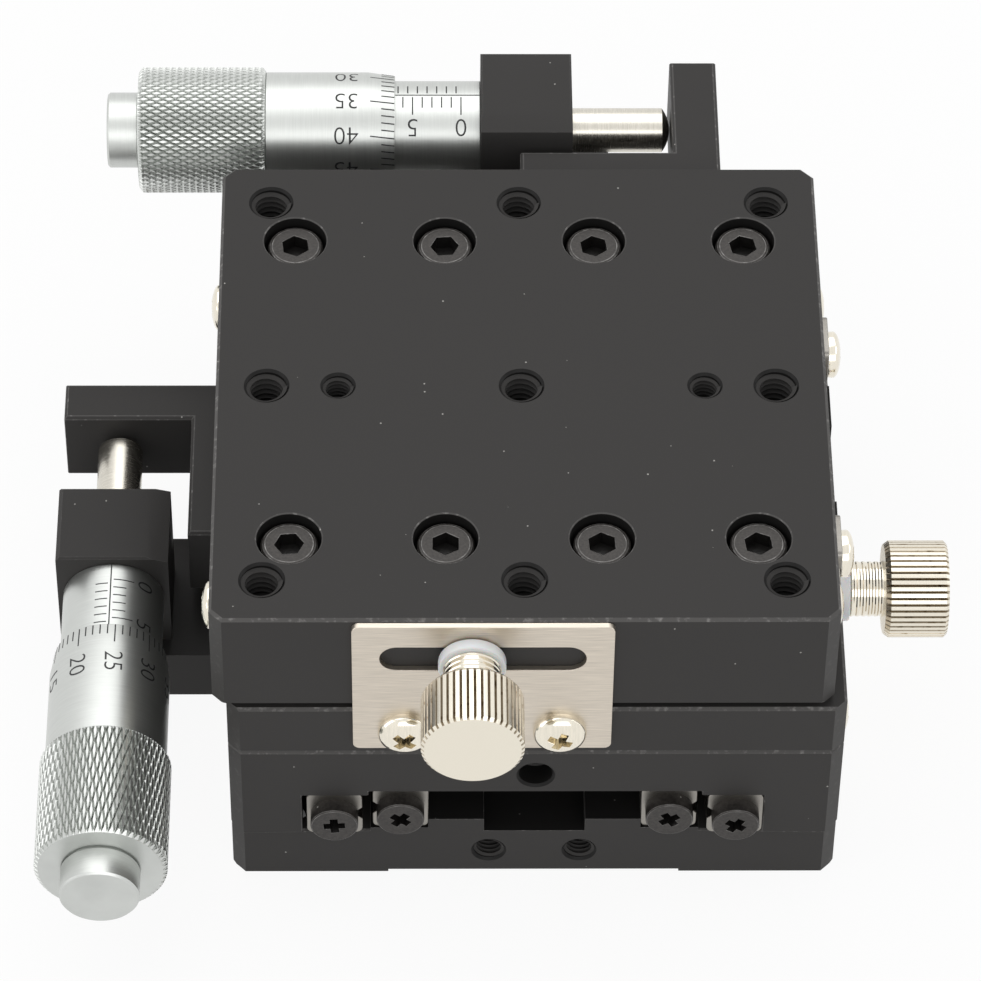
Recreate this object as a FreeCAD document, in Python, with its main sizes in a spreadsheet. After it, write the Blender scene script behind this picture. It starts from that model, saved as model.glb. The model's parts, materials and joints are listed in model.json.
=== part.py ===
import FreeCAD, Part
import math
import os
import sys
import Sketcher

# Two equal crossed-roller stages, one on top of the other. Each stage is modelled in its own
# frame: travel along X, micrometer on the +Y side, lock on the -Y side, bottom of the base at
# Z = 0. The lower stage is then turned by a quarter turn about Z. The origin of the whole part
# is the centre of the lower base's underside.

SIZES = [
    # plates
    ("plate_side", 60.0),
    ("stage_height", 20.0),
    ("corner_cut", 1.25),
    ("edge_cut", 0.3),
    ("base_share", 0.33),
    ("run_gap", 0.7),
    ("relief_width", 29.0),
    ("relief_depth", 0.35),
    ("seat_rise", 0.5),
    ("seat_margin", 0.25),
    ("land_width", 21.0),
    ("land_rise", 1.35),
    ("notch_width", 10.0),
    ("roof_gap", 0.65),
    # crossed-roller guides
    ("rail_width", 5.5),
    ("rail_length", 59.6),
    ("rail_height_share", 0.3),
    ("rail_gap", 1.0),
    ("roller_size", 2.0),
    ("roller_play", 0.04),
    ("roller_end_play", 0.1),
    ("roller_pitch", 4.0),
    ("cage_length", 44.0),
    ("cage_height", 4.5),
    ("cage_thickness", 0.5),
    ("cage_hole_radius", 1.55),
    # screws: thread radius, head radius and head height, socket
    ("screw_play", 0.03),
    ("small_thread_radius", 1.25),
    ("small_head_radius", 2.25),
    ("small_head_height", 2.5),
    ("small_socket_flats", 2.0),
    ("medium_thread_radius", 1.5),
    ("medium_head_radius", 2.75),
    ("medium_head_height", 3.0),
    ("medium_socket_flats", 2.5),
    ("large_thread_radius", 2.0),
    ("large_head_radius", 3.5),
    ("large_head_height", 4.0),
    ("large_socket_flats", 3.0),
    ("socket_depth", 1.6),
    ("set_socket_share", 0.6),
    ("through_play", 0.25),
    ("head_play", 0.4),
    # rail screws
    ("rail_screw_pitch", 15.0),
    ("top_screw_recess", 0.8),
    ("bottom_screw_recess", 0.4),
    ("rail_thread_share", 0.7333333),
    ("rail_tap_gap", 0.6),
    # rail end screws
    ("end_thread_radius", 1.0),
    ("end_head_radius", 2.35),
    ("end_screw_length", 4.0),
    ("end_tap_gap", 1.0),
    ("lower_end_head_height", 1.6),
    ("upper_end_head_height", 1.4),
    ("cross_width", 0.6),
    ("cross_length", 2.6),
    ("cross_depth", 0.5),
    # mounting holes
    ("grid_pitch", 25.0),
    ("bolt_pitch", 50.0),
    ("centre_tap_depth", 5.5),
    ("leg_tap_share", 0.4),
    ("mouth_width", 0.25),
    ("side_tap_pitch", 36.0),
    ("side_tap_depth", 5.0),
    ("end_hole_radius", 1.65),
    ("end_hole_share", 0.82),
    ("end_hole_depth", 2.8),
    ("base_tap_pitch", 9.0),
    ("base_tap_share", 0.175),
    ("base_tap_depth", 6.0),
    ("bolt_head_room", 4.4),
    ("stack_screw_length", 8.0),
    # micrometer: places along X count from the middle of the base or the table
    ("axis_offset", 12.3),
    ("axis_share", 0.654),
    ("centre_reading", 5.5),
    ("upper_reading", 6.835),
    ("lower_reading", 6.246),
    ("scale_zero", 2.04),
    ("sleeve_radius", 5.1),
    ("sleeve_length", 19.0),
    ("shank_radius", 4.75),
    ("spindle_radius", 2.3),
    ("spindle_play", 0.05),
    ("spindle_nose", 0.8),
    ("thread_core_radius", 3.0),
    ("thread_core_play", 0.08),
    ("thread_core_setback", 1.5),
    ("thimble_play", 0.08),
    ("thimble_edge_radius", 5.6),
    ("thimble_radius", 6.0),
    ("thimble_bevel", 2.8),
    ("knurl_radius", 6.5),
    ("knurl_start", 13.4),
    ("knurl_length", 13.1),
    ("knurl_cut", 0.35),
    ("thimble_wall", 3.0),
    ("cap_radius", 3.9),
    ("cap_length", 3.3),
    ("cap_cut", 0.4),
    ("cap_stud_radius", 1.5),
    ("cap_stud_length", 6.0),
    # micrometer holder
    ("holder_front", 5.05),
    ("holder_width", 9.45),
    ("holder_half", 5.65),
    ("holder_share", 0.95),
    ("holder_edge_cut", 0.4),
    ("holder_slope_width", 2.25),
    ("holder_slope_drop", 0.6),
    ("foot_front", 7.2),
    ("foot_length", 15.7),
    ("foot_share", 0.315),
    ("holder_screw_inset", 2.5),
    ("holder_screw_share", 0.16),
    ("holder_screw_length", 20.0),
    ("holder_screw_sink", 3.3),
    ("holder_tap_gap", 0.65),
    ("set_screw_length", 5.0),
    # anvil bracket
    ("anvil_face", 16.0),
    ("anvil_thickness", 4.8),
    ("anvil_reach", 18.0),
    ("anvil_height", 8.9),
    ("strip_start", 0.3),
    ("strip_thickness", 4.85),
    ("bracket_cut", 0.3),
    ("anvil_screw_first", 4.2),
    ("anvil_screw_pitch", 7.2),
    ("anvil_screw_sink", 3.1),
    ("anvil_screw_length", 8.0),
    ("anvil_tap_gap", 0.25),
    ("tip_gap", 0.05),
    # preload screws
    ("preload_pitch", 15.0),
    ("preload_length", 5.0),
    ("preload_gap", 0.45),
    # lock
    ("lock_offset", 5.0),
    ("lock_plate_offset", 5.3),
    ("lock_plate_width", 25.0),
    ("lock_plate_thickness", 0.65),
    ("lock_plate_bottom", 1.45),
    ("lock_plate_top_gap", 0.35),
    ("lock_plate_corner", 0.6),
    ("slot_length", 19.7),
    ("slot_width", 3.4),
    ("lock_share", 0.75),
    ("plate_screw_pitch", 15.0),
    ("plate_screw_share", 0.21),
    ("plate_screw_length", 5.0),
    ("pan_head_radius", 2.6),
    ("pan_head_height", 1.6),
    ("pan_head_crown", 0.5),
    ("washer_gap", 0.1),
    ("washer_radius", 3.25),
    ("washer_thickness", 1.2),
    ("neck_radius", 2.8),
    ("neck_length", 3.4),
    ("knob_radius", 4.9),
    ("knob_length", 6.35),
    ("knob_cut", 0.5),
    ("lock_thread_play", 0.05),
    ("lock_thread_reach", 5.8),
    ("lock_tap_gap", 1.2),
    # return spring
    ("spring_pin_place", 21.3),
    ("spring_pin_radius", 0.8),
    ("spring_pin_seat", 3.2),
    ("spring_pin_end_gap", 1.0),
    ("spring_share", 0.51),
    ("spring_radius", 2.4),
    ("spring_wire", 0.5),
    ("spring_ring_radius", 1.3),
    ("spring_link_share", 0.9),
    ("spring_hook_length", 3.0),
]

ROLLERS_PER_CAGE = 11
RAIL_SCREW_STEPS = (-1.5, -0.5, 0.5, 1.5)
PRELOAD_STEPS = (-1, 0, 1)
SIDES = (-1, 1)
FLAT_SPAN = 1e-6
SAME_PLACE = 1e-4

doc = FreeCAD.newDocument("MicroscopeStage")
sheet = doc.addObject("Spreadsheet::Sheet", "Sizes")


class Size:
    """A length or a share: its value, and the expression that ties an object to the sheet's cells."""

    def __init__(self, text, number):
        self.text = text
        self.number = number

    def __add__(self, other):
        other = as_size(other)
        return Size(f"({self.text} + {other.text})", self.number + other.number)

    def __sub__(self, other):
        other = as_size(other)
        return Size(f"({self.text} - {other.text})", self.number - other.number)

    def __mul__(self, times):
        times = as_size(times)
        return Size(f"({self.text} * {times.text})", self.number * times.number)

    def __truediv__(self, parts):
        return Size(f"({self.text} / {parts})", self.number / parts)

    def __neg__(self):
        return Size(f"(0 - {self.text})", -self.number)

    __rmul__ = __mul__


def as_size(thing):
    return thing if isinstance(thing, Size) else Size(str(thing), float(thing))


class Sizes:
    """Every cell of the sheet, by its name."""

    def __init__(self, table):
        for row, (name, number) in enumerate(table, 1):
            sheet.set(f"A{row}", name)
            sheet.set(f"B{row}", str(number))
            sheet.setAlias(f"B{row}", name)
            setattr(self, name, Size(f"Sizes.{name}", number))


s = Sizes(SIZES)
doc.recompute()

ZERO = as_size(0)
ALONG = {
    "x": FreeCAD.Rotation(FreeCAD.Vector(0, 1, 0), 90),
    "-x": FreeCAD.Rotation(FreeCAD.Vector(0, 1, 0), -90),
    "y": FreeCAD.Rotation(FreeCAD.Vector(1, 0, 0), -90),
    "-y": FreeCAD.Rotation(FreeCAD.Vector(1, 0, 0), 90),
    "z": FreeCAD.Rotation(),
    "-z": FreeCAD.Rotation(FreeCAD.Vector(1, 0, 0), 180),
}


def bind(thing, **sizes):
    """Ties properties of an object to lengths."""
    for name, size in sizes.items():
        thing.setExpression(name, as_size(size).text)


def put(thing, place, turn=None):
    """Ties an object's place to three lengths, after an optional turn."""
    if turn is not None:
        thing.Placement = FreeCAD.Placement(FreeCAD.Vector(), turn)
    for letter, size in zip("xyz", place):
        thing.setExpression(f"Placement.Base.{letter}", as_size(size).text)
    return thing


def box(name, low, sides):
    thing = doc.addObject("Part::Box", name)
    bind(thing, Length=sides[0], Width=sides[1], Height=sides[2])
    return put(thing, low)


def rod(name, radius, length, start, along="z"):
    thing = doc.addObject("Part::Cylinder", name)
    bind(thing, Radius=radius, Height=length)
    return put(thing, start, ALONG[along])


def taper(name, first_radius, last_radius, length, start, along="z"):
    thing = doc.addObject("Part::Cone", name)
    bind(thing, Radius1=first_radius, Radius2=last_radius, Height=length)
    return put(thing, start, ALONG[along])


def hexagon(name, flats, length, start, along="z"):
    thing = doc.addObject("Part::Prism", name)
    thing.Polygon = 6
    bind(thing, Circumradius=flats / math.sqrt(3), Height=length)
    return put(thing, start, ALONG[along])


def fuse(name, things):
    if len(things) == 1:
        return things[0]
    thing = doc.addObject("Part::MultiFuse", name)
    thing.Shapes = things
    thing.Refine = True
    return thing


def cut(name, base, tools):
    thing = doc.addObject("Part::Cut", name)
    thing.Base = base
    thing.Tool = fuse(name + "_tools", tools)
    return thing


def sketch(body, role, outline):
    """A closed outline of straight lines on one of the body's planes, each corner bound."""
    drawing = body.newObject("Sketcher::SketchObject", body.Name + "_outline")
    plane = [p for p in body.Origin.OriginFeatures if p.Role == role][0]
    drawing.AttachmentSupport = [(plane, "")]
    drawing.MapMode = "FlatFace"
    corners = [(as_size(a), as_size(b)) for a, b in outline]
    count = len(corners)
    for k in range(count):
        pair = corners[k], corners[(k + 1) % count]
        ends = [FreeCAD.Vector(a.number, b.number, 0) for a, b in pair]
        drawing.addGeometry(Part.LineSegment(*ends), False)
    for k in range(count):
        drawing.addConstraint(Sketcher.Constraint("Coincident", k, 2, (k + 1) % count, 1))
    for k, corner in enumerate(corners):
        for kind, size in zip(("DistanceX", "DistanceY"), corner):
            number = drawing.addConstraint(Sketcher.Constraint(kind, -1, 1, k, 1, size.number))
            drawing.setExpression(f"Constraints[{number}]", size.text)
    return drawing


def padded(name, role, outline, length):
    """A body whose outline is padded to both sides of its plane by half the length."""
    body = doc.addObject("PartDesign::Body", name)
    pad = body.newObject("PartDesign::Pad", name + "_pad")
    pad.Profile = sketch(body, role, outline)
    pad.SideType = "Symmetric"
    bind(pad, Length=length)
    return body


def turned(name, role, outline):
    """A body of revolution: the outline's first coordinate runs along the axis."""
    body = doc.addObject("PartDesign::Body", name)
    drawing = sketch(body, role, outline)
    revolution = body.newObject("PartDesign::Revolution", name + "_revolution")
    revolution.Profile = drawing
    revolution.ReferenceAxis = (drawing, ["H_Axis"])
    revolution.Angle = 360
    return body


def dress(body, kind, size, wanted):
    """Chamfers or rounds the edges of the body's last feature that the test picks."""
    doc.recompute()
    last = body.Tip
    names = [f"Edge{k}" for k, edge in enumerate(last.Shape.Edges, 1) if wanted(edge)]
    feature = body.newObject(f"PartDesign::{kind}", f"{body.Name}_{kind.lower()}")
    feature.Base = (last, names)
    bind(feature, **{"Size" if kind == "Chamfer" else "Radius": size})
    return body


def runs_along(edge, letter):
    """True for a straight edge that runs along one axis."""
    spans = {"x": edge.BoundBox.XLength, "y": edge.BoundBox.YLength, "z": edge.BoundBox.ZLength}
    others = [spans[other] for other in "xyz" if other != letter]
    return max(others) < FLAT_SPAN < spans[letter]


def at(number, size):
    return abs(number - as_size(size).number) < SAME_PLACE


class Frame:
    """Where a stage's base, table or cages stand: a place and a turn about Z."""

    def __init__(self, turn, x, y, z):
        self.turn = turn
        self.place = (x, y, z)


NODES = []


def node(label, frame, *solids):
    """One named sub-part of the object, as a group of solids in their frame."""
    thing = doc.addObject("Part::Compound", label)
    thing.Label = label
    thing.Links = list(solids)
    put(thing, frame.place, FreeCAD.Rotation(FreeCAD.Vector(0, 0, 1), frame.turn))
    NODES.append(thing)
    return thing


# Places that several pieces share

plate_half = s.plate_side / 2
base_thickness = s.stage_height * s.base_share
rail_height = s.stage_height * s.rail_height_share
rail_seat = base_thickness + s.seat_rise
rail_top = rail_seat + rail_height
rail_middle = rail_seat + rail_height / 2
rail_thread = rail_height * s.rail_thread_share
land_half = s.land_width / 2
inner_rail_face = land_half + s.rail_width
outer_rail_face = inner_rail_face + s.rail_gap
leg_face = outer_rail_face + s.rail_width
inner_rail_centre = land_half + s.rail_width / 2
outer_rail_centre = leg_face - s.rail_width / 2
guide_centre = inner_rail_face + s.rail_gap / 2
leg_bottom = base_thickness + s.run_gap
roof = rail_top + s.roof_gap
notch_floor = base_thickness
axis_y = plate_half + s.axis_offset
axis_height = s.stage_height * s.axis_share
holder_outside = axis_y + s.holder_half
holder_screw_height = s.stage_height * s.holder_screw_share
lock_height = s.stage_height * s.lock_share
plate_screw_height = s.stage_height * s.plate_screw_share
spring_height = s.stage_height * s.spring_share
thimble_edge = -(s.holder_front + s.scale_zero + s.centre_reading)


def socket_screw(name, kind, length, start, along, opposite):
    """A screw with a cylindrical head and a hexagon socket. It starts under its head."""
    radius = getattr(s, kind + "_thread_radius")
    head_radius = getattr(s, kind + "_head_radius")
    head_height = getattr(s, kind + "_head_height")
    flats = getattr(s, kind + "_socket_flats")
    shank = rod(name + "_shank", radius - s.screw_play, length, start, along)
    head = rod(name + "_head", head_radius, head_height, start, opposite)
    step = head_height - s.socket_depth
    mouth = step_along(start, opposite, step)
    socket = hexagon(name + "_socket", flats, s.socket_depth * 2, mouth, opposite)
    return cut(name, fuse(name + "_blank", [head, shank]), [socket])


def step_along(start, along, distance):
    """A place moved by a distance along a signed axis."""
    place = [as_size(value) for value in start]
    index = "xyz".index(along[-1])
    place[index] = place[index] - distance if along.startswith("-") else place[index] + distance
    return tuple(place)


def set_screw(name, kind, length, start, along):
    """A screw without a head, with a hexagon socket in the end where it starts."""
    radius = getattr(s, kind + "_thread_radius")
    flats = getattr(s, kind + "_socket_flats") * s.set_socket_share
    body = rod(name + "_shank", radius - s.screw_play, length, start, along)
    socket = hexagon(name + "_socket", flats, s.socket_depth, start, along)
    return cut(name, body, [socket])


def cross_screw(name, radius, head_radius, head_height, length, start, along, opposite):
    """A screw with a low head and a cross recess. It starts under its head."""
    shank = rod(name + "_shank", radius - s.screw_play, length, start, along)
    rim = head_height - s.cross_depth / 2
    head = rod(name + "_head", head_radius, rim, start, opposite)
    crown_start = step_along(start, opposite, rim)
    crown = taper(name + "_crown", head_radius, head_radius - s.pan_head_crown, s.cross_depth / 2,
                  crown_start, opposite)
    recess = []
    bottom = step_along(start, opposite, head_height - s.cross_depth)
    axis = "xyz".index(along[-1])
    for turn in range(2):
        sides = [s.cross_width, s.cross_width, s.cross_width]
        sides[(axis + 1 + turn) % 3] = s.cross_length
        sides[axis] = s.cross_depth * 2
        low = [as_size(value) - side / 2 for value, side in zip(bottom, sides)]
        low[axis] = bottom[axis] - sides[axis] if opposite.startswith("-") else bottom[axis]
        recess.append(box(f"{name}_slot{turn}", low, sides))
    return cut(name, fuse(name + "_blank", [head, crown, shank]), recess)


def tapped_hole(name, radius, depth, start, along):
    """A round hole with a small chamfer at its mouth."""
    hole = rod(name, radius, depth, start, along)
    mouth = taper(name + "_mouth", radius + s.mouth_width, radius, s.mouth_width, start, along)
    return [hole, mouth]


def base_plate(name, frame):
    """The fixed plate: a relieved underside, seats for the inner rails and a land with a notch."""
    seat_edge = inner_rail_face + s.seat_margin
    land_top = rail_seat + s.land_rise
    half = [
        (s.relief_width / 2, s.relief_depth),
        (s.relief_width / 2, ZERO),
        (plate_half, ZERO),
        (plate_half, base_thickness),
        (seat_edge, base_thickness),
        (seat_edge, rail_seat),
        (land_half, rail_seat),
        (land_half, land_top),
        (s.notch_width / 2, land_top),
        (s.notch_width / 2, notch_floor),
    ]
    outline = half + [(-y, z) for y, z in reversed(half)]
    body = padded(name + "_body", "YZ_Plane", outline, s.plate_side)
    dress(body, "Chamfer", s.corner_cut,
          lambda e: runs_along(e, "z") and at(abs(e.CenterOfMass.y), plate_half))
    dress(body, "Chamfer", s.edge_cut,
          lambda e: runs_along(e, "x") and at(abs(e.CenterOfMass.y), plate_half)
          or runs_along(e, "y") and at(abs(e.CenterOfMass.x), plate_half)
          and at(e.CenterOfMass.z, base_thickness))
    tools = []
    for x in SIDES:
        for y in SIDES:
            place = (s.bolt_pitch / 2 * x, s.bolt_pitch / 2 * y, ZERO)
            hole = f"{name}_bolt_{x + 1}{y + 1}"
            tools.append(rod(hole, s.large_thread_radius + s.through_play, base_thickness, place))
            room = (place[0], place[1], base_thickness - s.bolt_head_room)
            tools.append(rod(hole + "_head", s.large_head_radius + s.head_play, s.bolt_head_room, room))
    for k, step in enumerate(RAIL_SCREW_STEPS):
        for y in SIDES:
            place = (s.rail_screw_pitch * step, inner_rail_centre * y, ZERO)
            hole = f"{name}_rail_{k}{y + 1}"
            sink = s.bottom_screw_recess + s.medium_head_height
            tools.append(rod(hole, s.medium_thread_radius + s.through_play, rail_seat, place))
            tools.append(rod(hole + "_head", s.medium_head_radius + s.head_play, sink, place))
    for y in SIDES:
        place = (-plate_half, s.base_tap_pitch / 2 * y, s.stage_height * s.base_tap_share)
        tools += tapped_hole(f"{name}_end_{y + 1}", s.medium_thread_radius, s.base_tap_depth, place, "x")
    for x in SIDES:
        place = (-s.lock_plate_offset + s.plate_screw_pitch / 2 * x, -plate_half, plate_screw_height)
        tools.append(rod(f"{name}_lock_{x + 1}", s.small_thread_radius, s.plate_screw_length, place, "y"))
    under_head = holder_outside - s.holder_screw_sink
    tap_depth = s.holder_screw_length - (under_head - plate_half) + s.holder_tap_gap
    for k, x in enumerate(holder_screw_places()):
        place = (x, plate_half, holder_screw_height)
        tools.append(rod(f"{name}_holder_{k}", s.small_thread_radius, tap_depth, place, "-y"))
    pin = (-s.spring_pin_place, ZERO, notch_floor - s.spring_pin_seat)
    tools.append(rod(f"{name}_pin", s.spring_pin_radius, s.spring_pin_seat, pin))
    node(name, frame, cut(name + "_cut", body, tools))


def table_plate(name, frame):
    """The moving plate: a top with a leg down each side, seats for the outer rails and a raised roof."""
    pushed_leg_face = leg_face + s.preload_gap
    outline = [
        (guide_centre, roof),
        (guide_centre, rail_top),
        (pushed_leg_face, rail_top),
        (pushed_leg_face, leg_bottom),
        (plate_half, leg_bottom),
        (plate_half, s.stage_height),
        (-plate_half, s.stage_height),
        (-plate_half, leg_bottom),
        (-leg_face, leg_bottom),
        (-leg_face, rail_top),
        (-guide_centre, rail_top),
        (-guide_centre, roof),
    ]
    body = padded(name + "_body", "YZ_Plane", outline, s.plate_side)
    dress(body, "Chamfer", s.corner_cut,
          lambda e: runs_along(e, "z") and at(abs(e.CenterOfMass.y), plate_half))
    dress(body, "Chamfer", s.edge_cut,
          lambda e: at(e.BoundBox.ZMin, s.stage_height)
          or runs_along(e, "x") and at(abs(e.CenterOfMass.y), plate_half))
    tools = []
    through = s.stage_height - leg_bottom
    depths = {
        (0, 0): s.centre_tap_depth,
        (1, 0): s.centre_tap_depth,
        (0, 1): s.stage_height * s.leg_tap_share,
        (1, 1): through,
    }
    for x in (-1, 0, 1):
        for y in (-1, 0, 1):
            place = (s.grid_pitch * x, s.grid_pitch * y, s.stage_height)
            depth = depths[abs(x), abs(y)]
            tools += tapped_hole(f"{name}_grid_{x + 1}{y + 1}", s.large_thread_radius, depth, place, "-z")
    for x in SIDES:
        place = (s.side_tap_pitch / 2 * x, ZERO, s.stage_height)
        tools += tapped_hole(f"{name}_small_{x + 1}", s.medium_thread_radius, s.side_tap_depth, place, "-z")
    for k, step in enumerate(RAIL_SCREW_STEPS):
        for y in SIDES:
            place = (s.rail_screw_pitch * step, outer_rail_centre * y, s.stage_height)
            hole = f"{name}_rail_{k}{y + 1}"
            sink = s.top_screw_recess + s.medium_head_height
            tools.append(rod(hole, s.medium_thread_radius + s.through_play, s.stage_height - rail_top,
                             place, "-z"))
            tools.append(rod(hole + "_head", s.medium_head_radius + s.head_play, sink, place, "-z"))
    lock = (-s.lock_offset, -plate_half, lock_height)
    tap_depth = s.lock_thread_reach + s.lock_tap_gap
    tools.append(rod(f"{name}_lock", s.medium_thread_radius, tap_depth, lock, "y"))
    tap_depth = s.anvil_screw_length - (s.strip_thickness - s.anvil_screw_sink) + s.anvil_tap_gap
    for k, x in enumerate(anvil_screw_places()):
        place = (x, plate_half, axis_height)
        tools.append(rod(f"{name}_anvil_{k}", s.medium_thread_radius, tap_depth, place, "-y"))
    for step in PRELOAD_STEPS:
        place = (s.preload_pitch * step, plate_half, rail_middle)
        tools.append(rod(f"{name}_preload_{step + 1}", s.medium_thread_radius, plate_half - leg_face,
                         place, "-y"))
    end = (-plate_half, ZERO, s.stage_height * s.end_hole_share)
    tools += tapped_hole(f"{name}_end", s.end_hole_radius, s.end_hole_depth, end, "x")
    pin = (s.spring_pin_place, ZERO, roof)
    tools.append(rod(f"{name}_pin", s.spring_pin_radius, s.spring_pin_seat, pin))
    node(name, frame, cut(name + "_cut", body, tools))


def rail(name, back, face, side, tap_start, tap_along):
    """A rail with a right-angled groove in its face, tapped for its screws and in both ends."""
    inward = 1 if face.number > back.number else -1
    groove = s.roller_size * math.sqrt(0.5) - s.rail_gap / 2
    outline = [
        (back * side, rail_seat),
        (face * side, rail_seat),
        (face * side, rail_middle - groove),
        ((face - groove * inward) * side, rail_middle),
        (face * side, rail_middle + groove),
        (face * side, rail_top),
        (back * side, rail_top),
    ]
    body = padded(name + "_body", "YZ_Plane", outline, s.rail_length)
    centre = (back + face) / 2 * side
    tools = []
    for k, step in enumerate(RAIL_SCREW_STEPS):
        place = (s.rail_screw_pitch * step, centre, tap_start)
        tools.append(rod(f"{name}_tap_{k}", s.medium_thread_radius, rail_thread + s.rail_tap_gap,
                         place, tap_along))
    for end, along in ((-1, "x"), (1, "-x")):
        place = (s.rail_length / 2 * end, centre, rail_middle)
        tools.append(rod(f"{name}_end_{end + 1}", s.end_thread_radius, s.end_screw_length + s.end_tap_gap,
                         place, along))
    return cut(name, body, tools)


def rails(name, base, table):
    """Two inner rails on the base and two outer rails on the table."""
    inner = [rail(f"{name}inner_rail_{y + 1}", land_half, inner_rail_face, y, rail_seat, "z")
             for y in SIDES]
    outer = [rail(f"{name}outer_rail_{y + 1}", leg_face, outer_rail_face, y, rail_top, "-z")
             for y in SIDES]
    node(name + "base_rails", base, *inner)
    node(name + "table_rails", table, *outer)


def cages(name, frame):
    """Two thin cages and their rollers, which lean to one side and the other in turn."""
    strips = []
    rollers = []
    radius = (s.roller_size - s.roller_play) / 2
    length = s.roller_size - s.roller_end_play
    reach = length * math.sqrt(0.5) / 2
    for y in SIDES:
        low = (-s.cage_length / 2, guide_centre * y - s.cage_thickness / 2, rail_middle - s.cage_height / 2)
        strip = box(f"{name}strip_{y + 1}", low, (s.cage_length, s.cage_thickness, s.cage_height))
        holes = []
        for k in range(ROLLERS_PER_CAGE):
            x = s.roller_pitch * (k - (ROLLERS_PER_CAGE - 1) / 2)
            start = (x, guide_centre * y - s.cage_thickness / 2, rail_middle)
            holes.append(rod(f"{name}pocket_{y + 1}_{k}", s.cage_hole_radius, s.cage_thickness, start, "y"))
            lean = 1 if k % 2 else -1
            roller = rod(f"{name}roller_{y + 1}_{k}", radius, length,
                         (x, guide_centre * y + reach * lean, rail_middle - reach))
            turn = FreeCAD.Rotation(FreeCAD.Vector(1, 0, 0), 45 * lean)
            rollers.append(put(roller, (x, guide_centre * y + reach * lean, rail_middle - reach), turn))
        strips.append(cut(f"{name}cage_{y + 1}", strip, holes))
    node(name + "roller_cages", frame, *strips)
    node(name + "rollers", frame, *rollers)


def rail_screws(name, base, table):
    """Screws down through the table into the outer rails, and up through the base into the inner ones."""
    top = s.stage_height - s.top_screw_recess - s.medium_head_height
    bottom = s.bottom_screw_recess + s.medium_head_height
    from_top = []
    from_below = []
    for k, step in enumerate(RAIL_SCREW_STEPS):
        for y in SIDES:
            x = s.rail_screw_pitch * step
            from_top.append(socket_screw(f"{name}top_screw_{k}{y + 1}", "medium",
                                         top - rail_top + rail_thread,
                                         (x, outer_rail_centre * y, top), "-z", "z"))
            from_below.append(socket_screw(f"{name}low_screw_{k}{y + 1}", "medium",
                                           rail_seat - bottom + rail_thread,
                                           (x, inner_rail_centre * y, bottom), "z", "-z"))
    node(name + "table_rail_screws", table, *from_top)
    node(name + "base_rail_screws", base, *from_below)


def end_screws(name, base, table, head_height):
    """A low-headed screw in each end of each rail, which keeps the cage in."""
    for label, frame, centre in (("base", base, inner_rail_centre), ("table", table, outer_rail_centre)):
        screws = []
        for end, along, opposite in ((-1, "x", "-x"), (1, "-x", "x")):
            for y in SIDES:
                start = (s.rail_length / 2 * end, centre * y, rail_middle)
                screws.append(cross_screw(f"{name}{label}_end_{end + 1}{y + 1}", s.end_thread_radius,
                                          s.end_head_radius, head_height, s.end_screw_length,
                                          start, along, opposite))
        node(f"{name}{label}_end_screws", frame, *screws)


def holder_screw_places():
    first = -s.foot_front + s.holder_screw_inset
    return first, first + s.foot_length - s.holder_screw_inset * 2


def holder(name, base):
    """The block that carries the micrometer, on a foot screwed to the side of the base."""
    outer = holder_outside
    inner = axis_y - s.holder_half
    holder_height = s.stage_height * s.holder_share
    foot_height = s.stage_height * s.foot_share
    slope = [
        (inner, ZERO),
        (outer, ZERO),
        (outer, holder_height - s.holder_edge_cut),
        (outer - s.holder_edge_cut, holder_height),
        (inner + s.holder_slope_width, holder_height),
        (inner, holder_height - s.holder_slope_drop),
    ]
    block = padded(name + "block", "YZ_Plane", slope, s.holder_width)
    dress(block, "Chamfer", s.holder_edge_cut / 2,
          lambda e: runs_along(e, "y") and e.CenterOfMass.z > axis_height.number)
    put(block, (s.holder_width / 2 - s.holder_front, ZERO, ZERO))
    foot = box(name + "foot", (-s.foot_front, plate_half, ZERO),
               (s.foot_length, outer - plate_half, foot_height))
    bore_start = (-s.foot_front, axis_y, axis_height)
    tools = [rod(name + "bore", s.shank_radius + s.screw_play, s.foot_length, bore_start, "x")]
    screws = []
    sunk = outer - s.holder_screw_sink
    for k, x in enumerate(holder_screw_places()):
        place = (x, plate_half, holder_screw_height)
        tools.append(rod(f"{name}hole_{k}", s.small_thread_radius + s.through_play, outer - plate_half,
                         place, "y"))
        head = (x, outer, holder_screw_height)
        tools.append(rod(f"{name}sink_{k}", s.small_head_radius + s.through_play, s.holder_screw_sink,
                         head, "-y"))
        screws.append(socket_screw(f"{name}screw_{k}", "small", s.holder_screw_length,
                                   (x, sunk, holder_screw_height), "-y", "y"))
    set_x = s.holder_width / 2 - s.holder_front
    shank_bottom = axis_height - s.shank_radius
    tools.append(rod(name + "set_hole", s.medium_thread_radius, shank_bottom, (set_x, axis_y, ZERO)))
    start = (set_x, axis_y, shank_bottom - s.set_screw_length - s.screw_play)
    raw = fuse(name + "holder_raw", [block, foot])
    node(name + "micrometer_holder", base, cut(name + "holder_cut", raw, tools))
    node(name + "holder_screws", base, *screws)
    node(name + "sleeve_set_screw", base,
         set_screw(name + "set_screw", "medium", s.set_screw_length, start, "z"))


def on_axis(body):
    """Moves a turned body from the X axis to the micrometer's axis."""
    return put(body, (ZERO, axis_y, axis_height))


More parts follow.
